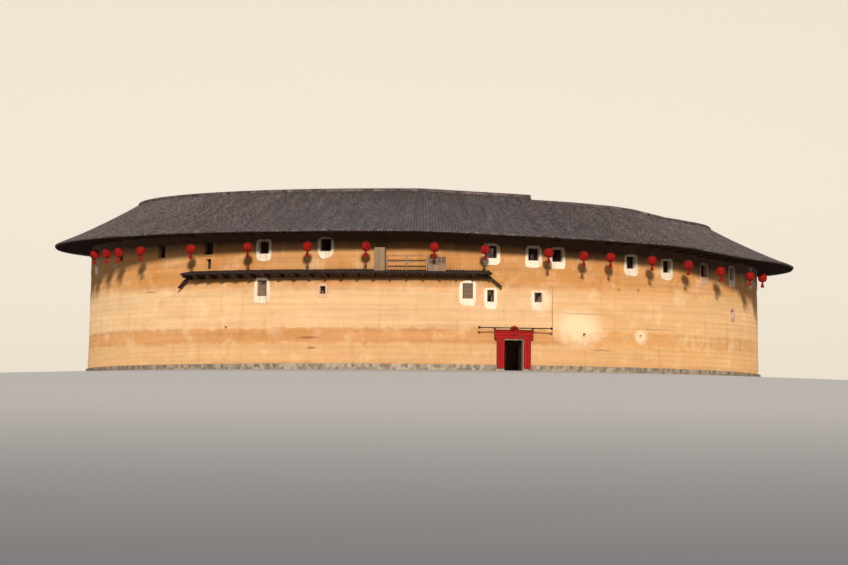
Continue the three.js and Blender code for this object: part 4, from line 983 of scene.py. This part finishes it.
ridges, boards = [], []
for start, stop, low in ((*LOW_ROOF, True), (LOW_ROOF[1], LOW_ROOF[0] + 360, False)):
    angles = np.linspace(start, stop, round((stop - start) * 2) + 1)
    across = RIDGE_SECTION[:, :1] + 0 * angles
    rise = RIDGE_SECTION[:, 1:] + RIDGE_LAP * (np.arange(len(angles)) % 2)
    points, faces = ring_body(angles, RIDGE_RADIUS + across, roof_top(RIDGE_RADIUS, angles, low) + rise)
    along = angles * math.radians(RIDGE_RADIUS) * 2.2 + 0 * across
    tile = np.stack([along, across, 0 * across], axis=-1).reshape(-1, 3)
    ridges.append((points, faces, tile, np.ones(len(points))))
    radii = np.concatenate([BOARD_RADII, BOARD_RADII[::-1]])[:, None]
    drop = np.repeat([BOARD_TOP, BOARD_BOTTOM], len(BOARD_RADII))[:, None]
    angles = np.linspace(start, stop, round((stop - start) / 2) + 1)
    boards.append(board(angles, radii, roof_top(radii, angles[None], low) - drop, [0, 1, 2], (1, 2, 1), 0.4))
tiled_piece("ridge_course", tiles, (), *ridges)
timber_piece("roof_boards", weathered_shade_fir, "timber", (), *boards)

rafters = []
for radii, step, count in RAFTERS:
    angles = (np.arange(count) + 0.5) * step
    line = [beside(angles, 0.0, radius, roof_top(radius, angles) - BOARD_BOTTOM - 0.05) for radius in radii]
    rafters += [timbers(near, far, (0, 0, 1), *RAFTER, cut=0) for near, far in zip(line[:-1], line[1:])]
timber_piece("rafters", weathered_shade_fir, "timber", (), *rafters)

angles = np.arange(BEAM_DEGREES / 2, 360, BEAM_DEGREES)
from_lantern = np.abs((angles[:, None] - np.array(LANTERN_ANGLES)[None] + 180) % 360 - 180).min(axis=1)
clear = (from_lantern >= BEAM_CLEARANCE) & (np.abs(angles - LOW_ROOF[0]) > BEAM_CLEARANCE)
angles = angles[clear]
beam_height = roof_top(32.2, angles) - 0.36
strut_top = roof_top(BEAM_STRUT_RADIUS, angles) - 0.2
timber_piece("eave_beams", weathered_shade_fir, "timber", (),
             reaching(angles, *BEAM_RADII, beam_height, *EAVE_BEAM),
             standing(angles, 0, BEAM_STRUT_RADIUS, beam_height, strut_top, *BEAM_STRUT))

step_boards = []
radii = np.concatenate([STEP_RADII, STEP_RADII[::-1]])[:, None]
for angle in (LOW_ROOF[0] - STEP_BOARD_DEGREES, LOW_ROOF[1] + STEP_BOARD_DEGREES):
    both = angle + np.array([-0.5, 0.5]) * STEP_BOARD_DEGREES
    top = roof_top(STEP_RADII[:, None], both, False) + 0.02
    bottom = roof_top(STEP_RADII[::-1, None], both, True) - BOARD_BOTTOM - 0.1
    step_boards.append(board(both, radii, np.concatenate([top, bottom]), [1, 0, 2], 1, 0.5))
timber_piece("step_boards", weathered_shade_fir, "timber", (), *step_boards)


# Storey floors
# Planks laid along the ring on radial joists. The solids' floors stay and get the planks as a finish, and the
# joists show under them.
FLOOR_DEPTH = 0.22
PLANK_LENGTH = 1.9
PLANK_WIDTH = 0.11
PLANK_DARK = "#4a3424"
PLANK_LIGHT = "#7c5b3f"
PLANK_JOINT = "#15100c"
JOISTS = 144
JOIST_RADII = (20.95, 28.35)
JOIST = (0.12, 0.15)
PLANK_TURN = 12.3  # the model's radius where the planks have their length


def floor_planks():
    """Fir planks along the ring: a running bond over the angle times a middle radius and the distance from
    the centre."""
    material, tree, shader = new_material("fir_floor_planks")
    place = add_node(tree, "TexCoord", "Object")
    x, y, _ = add_node(tree, "SeparateXYZ", None, Vector=place)
    angle = add_node(tree, "Math", 0, {"operation": "ARCTAN2"}, in_0=x, in_1=y)
    around = add_node(tree, "Math", 0, {"operation": "MULTIPLY"}, in_0=angle, in_1=PLANK_TURN)
    flat = add_node(tree, "VectorMath", 0, {"operation": "MULTIPLY"}, in_0=place, in_1=(1, 1, 0))
    away = add_node(tree, "VectorMath", "Value", {"operation": "LENGTH"}, in_0=flat)
    plan = add_node(tree, "CombineXYZ", X=around, Y=away)
    planks = add_node(tree, "TexBrick", "Color", {"offset": 0.4}, Vector=plan, Scale=1.0,
                      Brick_Width=PLANK_LENGTH, Row_Height=PLANK_WIDTH, Mortar_Size=0.003,
                      Color1=linear(PLANK_DARK), Color2=linear(PLANK_LIGHT), Mortar=linear(PLANK_JOINT))
    fibres = drawn_out(tree, plan, (2.0, 40.0, 1.0))
    colour = toned(tree, planks, fibres, 0.3, 0.7, 0.75, 1.15)
    coat(tree, shader, colour, 0.75, fibres, 0.002, 0.6)
    return material


plank_floor = floor_planks()
joists = []
angles = (np.arange(JOISTS) + 0.5) * 360 / JOISTS
for storey, label in enumerate(["second", "third", "fourth"], 1):
    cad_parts[f"floor_{label}_storey"].material_slots[0].material = plank_floor
    height = np.array([storey * pitch_at(angle) for angle in angles]) - FLOOR_DEPTH - 0.08
    joists.append(reaching(angles, *JOIST_RADII, height, *JOIST, cut=0))
timber_piece("floor_joists", fir, "timber", (), *joists)


# Room fronts
# Behind the galleries each bay of each storey is closed with upright planks in a frame, with a doorway in
# its middle. The courtyard side doesn't show in the photo, so all bays are alike but the wide passage at
# the gate.
ROOM_WALL = 22.76
BAYS = np.arange(36) * 10
HALF_BAY = math.radians(5)
PLANKS_PER_BAY = 16
PLANK = (0.243, 0.045)
JAMB = 0.12
DOORWAY = (0.95, 1.95)
PASSAGE = (2.9, 2.55)
# Rails: how high they lie over the floor, and how tall they are.
DOOR_HEAD, SILL, MIDDLE_RAIL, TOP_RAIL = (0.04, 0.1), (0.06, 0.12), (1.0, 0.09), (-0.07, 0.13)


def room_front(bay, storey):
    """One bay's front, straight from post to post: planks side by side, cut off over the doorway, and the
    frame."""
    low = storey * pitch_at(bay)
    half_long, middle = ROOM_WALL * math.sin(HALF_BAY), ROOM_WALL * math.cos(HALF_BAY)
    across = (np.arange(PLANKS_PER_BAY) + 0.5) / PLANKS_PER_BAY * 2 * half_long - half_long
    top = low + pitch_at(bay) - FLOOR_DEPTH
    if storey == 3:
        top = roof_top(ROOM_WALL, bay + np.degrees(across / ROOM_WALL)) - BOARD_BOTTOM - 0.1
    lowest_top = np.min(top)
    width, height = PASSAGE if (bay, storey) == (0, 0) else DOORWAY
    start = np.where(np.abs(across) < width / 2, low + height, low)
    parts = [standing(bay, across, middle, start, top, *PLANK, cut=0)]
    jambs = np.array([-width / 2 - 0.02, width / 2 + 0.02, -half_long + 0.06, half_long - 0.06])
    jamb_top = np.array([low + height, low + height, lowest_top, lowest_top])
    parts.append(standing(bay, jambs, middle, low, jamb_top, JAMB, JAMB))
    rails = [(-width / 2, width / 2, height + DOOR_HEAD[0], DOOR_HEAD[1])]
    for left, right in ((-half_long, -width / 2), (width / 2, half_long)):
        rails += [(left, right, *SILL), (left, right, *MIDDLE_RAIL)]
    rails.append((-half_long, half_long, lowest_top - low + TOP_RAIL[0], TOP_RAIL[1]))
    left, right, up, tall = np.transpose(rails)
    parts.append(level(bay, left, right, middle, low + up, tall, 0.1))
    return parts


for storey, label in enumerate(["ground", "second", "third", "fourth"]):
    parts = [part for bay in BAYS for part in room_front(int(bay), storey)]
    timber_piece(f"room_fronts_{label}", fir, "timber", [f"room_front_{label}"], *parts)


# Courtyard galleries
# A post stands at each bay's corner from the ground to the roof. Each upper storey has an edge beam on two
# small braces at every post, and a parapet of upright planks between two rails.
GALLERY_EDGE = 20.8
POST_RADIUS = 20.73
POST = 0.22
PARAPET_PLANKS = 18
PARAPET_HEIGHT = 0.95
PARAPET_PLANK = (0.195, 0.035)
# Over the floor's level, height and depth: the edge beam, the parapet's sill and its handrail.
GALLERY_RAILS = ((-0.14, 0.28, 0.12), (0.07, 0.09, 0.09), (PARAPET_HEIGHT - 0.05, 0.1, 0.12))
EAVE_PLATE = (0.24, 0.12)
BRACE = (0.08, 0.08)
BRACE_FOOT, BRACE_HEAD = (0.1, -0.85), (0.62, -0.27)  # from the post, and from the floor's level

corners = BAYS + 5.0
post_top = roof_top(POST_RADIUS, corners) - BOARD_BOTTOM - 0.09
frames, panels = [standing(corners, 0, POST_RADIUS, 0.0, post_top, POST, POST, cut=0.25)], []
half_long, middle = GALLERY_EDGE * math.sin(HALF_BAY), GALLERY_EDGE * math.cos(HALF_BAY)
plank_across = (np.arange(PARAPET_PLANKS) + 0.5) / PARAPET_PLANKS * 2 * half_long - half_long
for bay in BAYS:
    floors = np.arange(1, 4) * pitch_at(int(bay))
    for up, tall, depth in GALLERY_RAILS:
        frames.append(level(bay, -half_long, half_long, middle, floors + up, tall, depth))
    eave = float(roof_top(GALLERY_EDGE, float(bay))) - BOARD_BOTTOM - 0.22
    frames.append(level(bay, -half_long, half_long, middle, eave, *EAVE_PLATE))
    for side in (-1, 1):
        foot, head = [beside(bay, side * (half_long - in_from), middle, floors + up)
                      for in_from, up in (BRACE_FOOT, BRACE_HEAD)]
        frames.append(timbers(foot, head, outwards(float(bay)), *BRACE, cut=0))
    z = np.repeat(floors, PARAPET_PLANKS)
    top = z + PARAPET_HEIGHT - 0.08
    panels.append(standing(bay, np.tile(plank_across, 3), middle, z, top, *PARAPET_PLANK, cut=0))
gallery_nodes = [f"gallery_{label}" for label in ("front_right", "back_right", "back_left", "front_left")]
timber_piece("gallery_frames", fir, "timber", gallery_nodes, *frames)
timber_piece("gallery_parapets", fir, "timber", (), *panels)


# Gate
# A granite frame of five blocks a side carries a lintel block. Behind it two plank leaves turn on wooden
# pins between the threshold slab and the header. Red boards and a rosette dress the opening, and a pole with
# turned knobs hangs on two brackets over them.
FRAME_RADIUS = 29.86
FRAME_DEPTH = 0.516
BLOCK_ACROSS = 0.95
BLOCK_WIDTH = 0.297
BLOCK_COURSES = np.linspace(0, 2.65, 6)
BLOCK_JOINT = 0.006
STONE_CUT = 0.08
LINTEL_HALF = 1.098
LINTEL_MIDDLE, LINTEL_TALL = 2.825, 0.345
SLAB_EDGES = np.array([-0.798, -0.27, 0.27, 0.798])
SLAB_JOINT = 0.004
SLAB_MIDDLE, SLAB_TALL = 0.061, 0.118
PIVOT_SLAB = (-0.978, 0.978, 29.475, 0.015, 0.03, 0.25)  # both ends, radius, height, how tall and how deep
HEADER_PLANKS = 28.55 + 0.3 * np.arange(4)
HEADER_MIDDLE, HEADER_PLANK = 2.9, (0.198, 0.292)
LEAF_PIVOT_ACROSS, LEAF_PIVOT_RADIUS = 0.84, 29.53
LEAF_TOP = 2.72
LEAF_BOTTOM = 0.06
LEAF_FACE = 0.04
LEAF_WIDTH = 0.8735
LEAF_PLANKS = 4
LEAF_PLANK = (0.212, 0.045)
BATTEN_HEIGHTS = np.array([0.4, 1.4, 2.35])
BATTEN_RADII = (29.55, 28.72)
BATTEN = (0.15, 0.035)
PLANK_ASIDE, BATTEN_ASIDE = 0.0175, 0.0225  # from the pivot, towards the passage and away from it
PIN_RADIUS = 0.038
PIN_SPANS = ((0.031, LEAF_BOTTOM + 0.02), (LEAF_TOP - 0.02, 2.799))
HANDLE_RADIUS = 28.83
HANDLE_RING, HANDLE_WIRE, HANDLE_GAP = 0.07, 0.009, 0.008
HANDLE_HEIGHT, BOSS_HEIGHT = 1.28, 1.35
BOSS = [(0, 0), (0.05, 0), (0.045, 0.008), (0.02, 0.016), (0, 0.018)]
SURROUND_HALF = 1.65
SURROUND_RADIUS = 30.09
TOP_BOARDS = 2.75 + 0.25 * (np.arange(3) + 0.5)
SIDE_BOARDS = np.array([0.99, 1.3])
SIDE_FOOT, SIDE_TOP = 0.3, 2.76
TOP_BOARD, SIDE_BOARD = (0.244, 0.23), (0.3, 0.22)
TRIM_RADIUS = 30.2
TRIM = (0.06, 0.05)
TRIM_ACROSS = np.array([0.86, 1.42])
TRIM_LEVELS = np.array([2.78, 3.47])
EDGE_TRIM = (1.62, TRIM_RADIUS, 2.75, 3.5)  # across, radius, foot and top
ROSETTE = [(0, 0.0), (0.4, 0.0), (0.42, 0.06), (0.36, 0.12), (0.22, 0.13), (0.15, 0.1), (0.13, 0.16),
           (0.08, 0.2), (0, 0.205)]
ROSETTE_RADIUS, ROSETTE_HEIGHT = 30.15, 3.45
POLE_HEIGHT = 3.64
POLE_RADIUS = 30.62
POLE_HALF = 3.1
POLE = [(0, -POLE_HALF), (0.045, -POLE_HALF), (0.042, -1.0), (0.045, 0.5), (0.045, POLE_HALF), (0, POLE_HALF)]
KNOB = [(0, -0.11), (0.06, -0.1), (0.1, -0.06), (0.115, 0.0), (0.1, 0.06), (0.06, 0.1), (0, 0.11)]
BRACKET_ACROSS = np.array([-1.62, 1.62])
# Both radii, height, width and how tall.
BRACKET = (29.8, POLE_RADIUS + 0.05, POLE_HEIGHT - 0.02, 0.1, 0.09)


def spun(profile, sides, lobes=0, depth=0.0):
    """A turned body of x = r cos t, y = r sin t at each station, with r less by depth where the lobes' cosine
    is least. The first and the last station lie on the axis and close it."""
    radius, height = np.transpose(profile)
    t = np.arange(sides) * 2 * np.pi / sides
    wave = (1 - depth * (0.5 - 0.5 * np.cos(lobes * t)))[:, None]
    x, y = radius[1:-1] * np.cos(t)[:, None] * wave, radius[1:-1] * np.sin(t)[:, None] * wave
    ring = np.stack(np.broadcast_arrays(x, y, height[1:-1]), axis=-1)
    stations = len(radius) - 2
    points = np.concatenate([ring.reshape(-1, 3), [[0, 0, height[0]], [0, 0, height[-1]]]])
    here = np.arange(sides)
    there = (here + 1) % sides
    low, high = sides * stations, sides * stations + 1
    bottom = np.stack([low + 0 * here, there * stations, here * stations], axis=-1)
    last = stations - 1
    top = np.stack([high + 0 * here, here * stations + last, there * stations + last], axis=-1)
    return points, [grid_faces(sides, stations, wrap=True)[:, ::-1], np.concatenate([bottom, top])]


def placed(shape, angles, radii, heights, axis="up", across=0):
    """Copies of a body in metres, each with its x along the ring, its y inwards and its z up, or lying along
    the ring or pointing outwards."""
    points, face_sets = shape
    if axis == "along":
        points = points[:, [2, 0, 1]]
    elif axis == "out":
        points = points[:, [0, 2, 1]] * (1, -1, 1)
    angles, radii, heights = [np.atleast_1d(v)[:, None] for v in np.broadcast_arrays(angles, radii, heights)]
    x, y, z = points.T[:, None]
    world = beside(angles, across + x, radii - y, heights + z)
    copies, size = world.shape[:2]
    offset = size * np.arange(copies)[:, None, None]
    faces = [(face_set[None] + offset).reshape(-1, face_set.shape[1]) for face_set in face_sets]
    grain = np.tile(points, (copies, 1)) + 5.0 * np.repeat(np.arange(copies), size)[:, None]
    return world.reshape(-1, 3), faces, grain, np.full(copies * size, 0.5)


def cut_granite():
    """Fine-tooled granite: grey-buff with dark and pale grains and a pecked face."""
    material, tree, shader = new_material("fine_tooled_granite")
    grain = add_node(tree, "Attribute", "Vector", {"attribute_name": "grain"})
    cloud = add_node(tree, "TexNoise", Vector=grain, Scale=2.5, Detail=6.0, Roughness=0.6)
    colour = between(tree, cloud, 0.35, 0.65, "#7d7468", "#b3a896")
    colour = patched(tree, colour, "#4f4a44", grain, 60.0, 0.55, 0.7, 0.6, detail=2.0)
    pecks = add_node(tree, "TexNoise", Vector=grain, Scale=40.0, Detail=4.0, Roughness=0.6)
    coat(tree, shader, colour, 0.8, pecks, 0.003, 0.8)
    return material


def painted_boards():
    """Red oil paint on boards: semi-matt, the fibres telling through, worn to a dull brown in patches."""
    material, tree, shader = new_material("red_painted_boards")
    grain = add_node(tree, "Attribute", "Vector", {"attribute_name": "grain"})
    fibres = drawn_out(tree, grain, (0.8, 14.0, 14.0))
    colour = between(tree, fibres, 0.35, 0.7, "#7c0a05", "#b0120a")
    colour = patched(tree, colour, "#6b3226", grain, 1.6, 0.6, 0.72, 0.75, detail=6.0)
    coat(tree, shader, colour, 0.6, fibres, 0.002, 0.6, Specular_IOR_Level=0.2)
    return material


def wrought_iron():
    """Hand-forged iron: nearly black, with brown rust in its hollows."""
    material, tree, shader = new_material("wrought_iron")
    grain = add_node(tree, "Attribute", "Vector", {"attribute_name": "grain"})
    rust, pits = [add_node(tree, "TexNoise", Vector=grain, Scale=scale, Detail=4.0, Roughness=0.6)
                  for scale in (30.0, 90.0)]
    colour = between(tree, rust, 0.45, 0.65, "#2a2624", "#5a3b2a")
    coat(tree, shader, colour, 0.6, pits, 0.001, 0.5, Metallic=0.7)
    return material


def iron_part(points, face_sets, side):
    """A part with its faces turned for its side, and a grain that follows its place."""
    return points, [faces[:, ::side] for faces in face_sets], points * 10, np.full(len(points), 0.5)


def ring_handle(pivot_across, side):
    """A ring of round wire, the wire's circle carried round the ring's, under a turned boss on the leaf."""
    u, v = np.meshgrid(np.arange(20) * np.pi / 10, np.arange(8) * np.pi / 4, indexing="ij")
    away = HANDLE_RING + HANDLE_WIRE * np.cos(v)
    across = pivot_across - side * (LEAF_FACE + HANDLE_GAP + HANDLE_WIRE * np.sin(v))
    radius, height = HANDLE_RADIUS + away * np.sin(u), HANDLE_HEIGHT + away * np.cos(u)
    ring = beside(0, across, radius, height).reshape(-1, 3)
    here = np.arange(u.size).reshape(u.shape)
    above = np.roll(here, -1, axis=1)
    faces = np.stack([here, above, np.roll(above, -1, axis=0), np.roll(here, -1, axis=0)], axis=-1)
    boss, boss_faces = spun(BOSS, 16)
    boss = beside(0, pivot_across - side * (LEAF_FACE + boss[:, 2]), HANDLE_RADIUS + boss[:, 0],
                  BOSS_HEIGHT + boss[:, 1])
    return iron_part(ring, [faces.reshape(-1, 4)], side), iron_part(boss, boss_faces, side)


granite, red_paint, iron = cut_granite(), painted_boards(), wrought_iron()
low, high = BLOCK_COURSES[:-1] + BLOCK_JOINT, BLOCK_COURSES[1:] - BLOCK_JOINT
blocks = [standing(0, side * BLOCK_ACROSS, FRAME_RADIUS, low, high, BLOCK_WIDTH, FRAME_DEPTH, cut=STONE_CUT)
          for side in (-1, 1)]
lintel = level(0, -LINTEL_HALF, LINTEL_HALF, FRAME_RADIUS, LINTEL_MIDDLE, LINTEL_TALL, FRAME_DEPTH,
               cut=STONE_CUT)
timber_piece("gate_frame_blocks", granite, "stone", ["gate_frame"], *blocks, lintel)
left, right = SLAB_EDGES[:-1] + SLAB_JOINT, SLAB_EDGES[1:] - SLAB_JOINT
slabs = level(0, left, right, FRAME_RADIUS, SLAB_MIDDLE, SLAB_TALL, FRAME_DEPTH)
timber_piece("threshold_slabs", granite, "stone", ["gate_threshold"], slabs, level(0, *PIVOT_SLAB))
timber_piece("header_planks", weathered_shade_fir, "dark_timber", ["gate_header"],
             level(0, -LINTEL_HALF, LINTEL_HALF, HEADER_PLANKS, HEADER_MIDDLE, *HEADER_PLANK))

for side, label in ((-1, "left"), (1, "right")):
    pivot = side * LEAF_PIVOT_ACROSS
    radius = LEAF_PIVOT_RADIUS + LEAF_FACE - LEAF_WIDTH * (np.arange(LEAF_PLANKS) + 0.5) / LEAF_PLANKS
    face = pivot - side * PLANK_ASIDE
    foot, head = [beside(0, face, radius, height) for height in (LEAF_BOTTOM, LEAF_TOP)]
    planks = timbers(foot, head, (1, 0, 0), *LEAF_PLANK)
    start, stop = [beside(0, pivot + side * BATTEN_ASIDE, radius, BATTEN_HEIGHTS) for radius in BATTEN_RADII]
    pins = []
    for low, high in PIN_SPANS:
        pin = spun([(0, low), (PIN_RADIUS, low), (PIN_RADIUS, high), (0, high)], 12)
        pins.append(placed(pin, 0, LEAF_PIVOT_RADIUS, 0, across=pivot))
    timber_piece(f"leaf_{label}", weathered_shade_fir, "dark_timber", [f"gate_leaf_{label}"], planks,
                 timbers(start, stop, (1, 0, 0), *BATTEN), *pins, body=f"{label}_leaf")
    timber_piece(f"ring_{label}", iron, "dark_timber", (), *ring_handle(pivot, side), body=f"{label}_leaf")

boards = [level(0, -SURROUND_HALF, SURROUND_HALF, SURROUND_RADIUS, TOP_BOARDS, *TOP_BOARD)]
for side in (-1, 1):
    boards.append(standing(0, side * SIDE_BOARDS, SURROUND_RADIUS, SIDE_FOOT, SIDE_TOP, *SIDE_BOARD))
    boards.append(standing(0, side * TRIM_ACROSS, TRIM_RADIUS, SIDE_FOOT, EDGE_TRIM[2], *TRIM))
    boards.append(standing(0, side * EDGE_TRIM[0], *EDGE_TRIM[1:], *TRIM))
boards.append(level(0, -SURROUND_HALF, SURROUND_HALF, TRIM_RADIUS, TRIM_LEVELS, *TRIM))
boards.append(placed(spun(ROSETTE, 48, lobes=8, depth=0.14), 0, ROSETTE_RADIUS, ROSETTE_HEIGHT, axis="out"))
timber_piece("gate_surround_boards", red_paint, "red_paint", ["gate_surround"], *boards)

pole = placed(spun(POLE, 12), 0, POLE_RADIUS, POLE_HEIGHT, axis="along")
knobs = [placed(spun(KNOB, 14), 0, POLE_RADIUS, POLE_HEIGHT, axis="along", across=across)
         for across in (-POLE_HALF, POLE_HALF)]
brackets = reaching(0, *BRACKET, across=BRACKET_ACROSS)
timber_piece("gate_pole_turned", weathered_shade_fir, "dark_timber", ["gate_pole"], pole, *knobs, brackets)


# Waist roof
# A narrow tiled roof half way up the front rides on a close row of cantilevered beams, with a slanting strut
# at each end.
WAIST_ROOT, WAIST_EDGE = 29.4, 31.05
WAIST_ROOT_HEIGHT, WAIST_EDGE_HEIGHT = 8.46, 8.16
WAIST_RADII = [30.98, WAIST_EDGE, WAIST_EDGE, 30.7, 30.3, 29.9, WAIST_ROOT]
WAIST_FOLD = [0.07, 0.065, 0, 0, 0, 0, 0]
WAIST_COLUMN_DEGREES = 0.5
# The waist roof's tiles take near-black tile colours: painted shade.
WAIST_TILE_SHADE_COLOURS = ("#1c110e", "#3f2a22", "#3a1e14", "#2b2420")
DECK = [(31.02, 0.12), (31.02, 0.06), (29.45, 0.06), (29.45, 0.12)]  # radius and depth under the tiles
WAIST_BEAMS = 21
# Radii of both ends, height, width and how tall; the purlin runs along the ring at one radius.
WAIST_BEAM, CORBEL = (29.5, 30.93, 7.95, 0.14, 0.2), (29.5, 30.5, 7.78, 0.12, 0.13)
PURLIN = (30.75, 8.07, 0.1, 0.1)
WAIST_END = 0.4
STRUT = (0.13, 0.42)
STRUT_RADIUS = 30.12
STRUT_ENDS = ((0.94, 7.04), (-0.24, 7.98))  # away from the roof's end, and height


def waist_top(radius, angle=0.0, low=None):
    """The waist roof's surface: a straight fall from the wall to the edge."""
    share = (radius - WAIST_ROOT) / (WAIST_EDGE - WAIST_ROOT)
    return WAIST_ROOT_HEIGHT + (WAIST_EDGE_HEIGHT - WAIST_ROOT_HEIGHT) * share + 0 * np.asarray(angle)


waist_tiles = tile_slope(*WAIST, None, WAIST_RADII, WAIST_FOLD, WAIST_COLUMN_DEGREES, 9000, surface=waist_top)
tiled_piece("waist_tiles", clay_tiles("sooty_clay_tiles", *WAIST_TILE_SHADE_COLOURS), ["waist_roof"], waist_tiles)
radii, depth = np.transpose(DECK)[..., None]
angles = np.linspace(*WAIST, 105)
deck = board(angles, radii, waist_top(radii) - depth + 0 * angles, [0, 1, 2], 2, 0.3)
angles = np.linspace(WAIST[0] + WAIST_END, WAIST[1] - WAIST_END, WAIST_BEAMS)
beams, corbels = reaching(angles, *WAIST_BEAM), reaching(angles, *CORBEL)
purlin = curved(np.linspace(*WAIST, 53), *PURLIN)
end_struts = []
for end, side in zip(WAIST, (-1, 1)):
    foot, head = [beside(end, side * across, STRUT_RADIUS, height) for across, height in STRUT_ENDS]
    end_struts.append(timbers(foot, head, outwards(end), *STRUT))
timber_piece("waist_beams", weathered_shade_fir, "dark_timber", (), deck, beams, corbels, purlin, *end_struts)


# Lookout
# Two weathered board boxes stand on the waist roof with a rail of two bars between them. The upper half of
# the wide one is slatted.
# Boxes: angle, width, how far they reach, their top, and how much of it is slatted.
BOXES = {"left": (-21.3, 0.87, 30.65, 10.2, 0.0), "right": (-12.4, 1.5, 30.75, 9.45, 0.62)}
BOX_BACK = 29.75
BOX_POST = 0.08
BOX_BOARD = 0.21
SLATS = 5
SLAT_UPRIGHTS = np.array([-0.35, 0.0, 0.35])
RAIL_RADIUS = 30.54
RAIL_ANGLES = np.linspace(-20.2, -13.95, 8)
RAIL_HEIGHTS = (9.0, 9.5)
RAIL_POSTS = np.array([-20.1, -17.1, -14.05])


def middles(count):
    """The middles of a number of even parts of one."""
    return (np.arange(count) + 0.5) / count


for label, (angle, width, reach, top, slatted) in BOXES.items():
    half, front = width / 2, reach - 0.02
    foot = float(waist_top(reach)) + 0.03
    panel_top = top - 0.05 - slatted
    count = round(width / BOX_BOARD)
    x = middles(count) * (width - 0.1) - half + 0.05
    parts = [standing(angle, x, front - 0.015, foot, panel_top, (width - 0.1) / count - 0.006, 0.03, cut=0)]
    x = np.array([-half, half, -half, half]) + np.array([1, -1, 1, -1]) * BOX_POST / 2
    radius = np.array([front - 0.03, front - 0.03, BOX_BACK, BOX_BACK])
    parts.append(standing(angle, x, radius, foot, top - 0.04, BOX_POST, BOX_POST))
    radius = BOX_BACK + 0.1 + (front - BOX_BACK - 0.12) * middles(4)
    for x in (0.02 - half, half - 0.02):
        parts.append(standing(angle, x, radius, foot, top - 0.05, 0.03, 0.19, cut=0))
    radius = BOX_BACK + (front - BOX_BACK) * middles(5)
    parts.append(level(angle, -half, half, radius, top - 0.025, 0.04, 0.17, cut=0))
    if slatted:
        z = panel_top + middles(SLATS) * slatted
        parts.append(level(angle, 0.05 - half, half - 0.05, front - 0.02, z, 0.06, 0.02, cut=0))
        parts.append(standing(angle, SLAT_UPRIGHTS, front, panel_top, top - 0.05, 0.07, 0.03, cut=0))
    timber_piece(f"lookout_boards_{label}", grey_fir, "grey_timber", [f"lookout_bay_{label}"], *parts)

rails = [curved(RAIL_ANGLES, RAIL_RADIUS, height, 0.08, 0.08) for height in RAIL_HEIGHTS]
rails.append(standing(RAIL_POSTS, 0, RAIL_RADIUS, waist_top(RAIL_RADIUS) + 0.03, 9.56, 0.09, 0.1))
timber_piece("lookout_rails", grey_fir, "grey_timber", ["lookout_rail"], *rails)


# Lanterns
# Red cloth lanterns with a tassel hang on strings from a rail under the outer eave.
LANTERN_RADIUS = 31.8
LANTERN_DROP = 1.4
LANTERN_DARK = "#6e0a06"
LANTERN_RED = "#a0140a"
BODY_TURN = np.radians(np.linspace(-64, 64, 11))
BODY = [(0, -0.36), *[(0.12 + 0.28 * math.cos(t), 0.39 * math.sin(t)) for t in BODY_TURN], (0, 0.36)]
TASSEL = [(0, -0.86), (0.16, -0.85), (0.15, -0.7), (0.1, -0.52), (0.07, -0.48), (0.09, -0.44), (0.05, -0.4),
          (0.06, -0.34), (0, -0.33)]
CAPS = ((-0.39, -0.32), (0.32, 0.4))
STRING = 0.025
RAIL = 0.07


def lantern_cloth():
    """Red cloth over cane ribs: matt, and faded in patches."""
    material, tree, shader = new_material("red_lantern_cloth")
    grain = add_node(tree, "Attribute", "Vector", {"attribute_name": "grain"})
    fading, weave = [add_node(tree, "TexNoise", Vector=grain, Scale=scale, Detail=4.0, Roughness=0.6)
                     for scale in (3.0, 40.0)]
    colour = between(tree, fading, 0.35, 0.7, LANTERN_DARK, LANTERN_RED)
    coat(tree, shader, colour, 0.8, weave, 0.002, 0.4, Specular_IOR_Level=0.2)
    return material


def under_eave(angle, depth, low=None):
    """A height under the tiles where the lanterns hang."""
    return roof_top(LANTERN_RADIUS + 0.04, angle, low) - depth


angles = np.array(LANTERN_ANGLES)
hook = under_eave(angles, 0.38)
middle = hook - LANTERN_DROP
bodies = placed(spun(BODY, 32, lobes=16, depth=0.07), angles, LANTERN_RADIUS, middle)
tassels = placed(spun(TASSEL, 24, lobes=12, depth=0.2), angles, LANTERN_RADIUS, middle)
timber_piece("lantern_bodies", lantern_cloth(), "lantern_cloth", ["lantern_row"], bodies, tassels)
caps = []
for low, high in CAPS:
    cap = spun([(0, low), (0.15, low), (0.16, (low + high) / 2), (0.15, high), (0, high)], 16)
    caps.append(placed(cap, angles, LANTERN_RADIUS, middle))
strings = standing(angles, 0, LANTERN_RADIUS, middle + 0.38, hook + 0.02, STRING, STRING, cut=0)
edge = LOW_ROOF[0] - 0.35
rail = []
for start, stop, low in ((LANTERN_ANGLES[0] - 0.5, edge, False), (edge, LANTERN_ANGLES[-1] + 0.5, True)):
    turn = np.linspace(start, stop, round((stop - start) / 2) + 1)
    rail.append(curved(turn, LANTERN_RADIUS, under_eave(turn, 0.39, low), RAIL, RAIL))
link_top, link_low = [float(under_eave(edge, 0.37, low)) for low in (False, True)]
rail.append(standing(edge, 0, LANTERN_RADIUS, link_low - 0.06, link_top, RAIL, RAIL, cut=0))
timber_piece("lantern_rail", weathered_shade_fir, "dark_timber", (), *caps, strings, *rail)
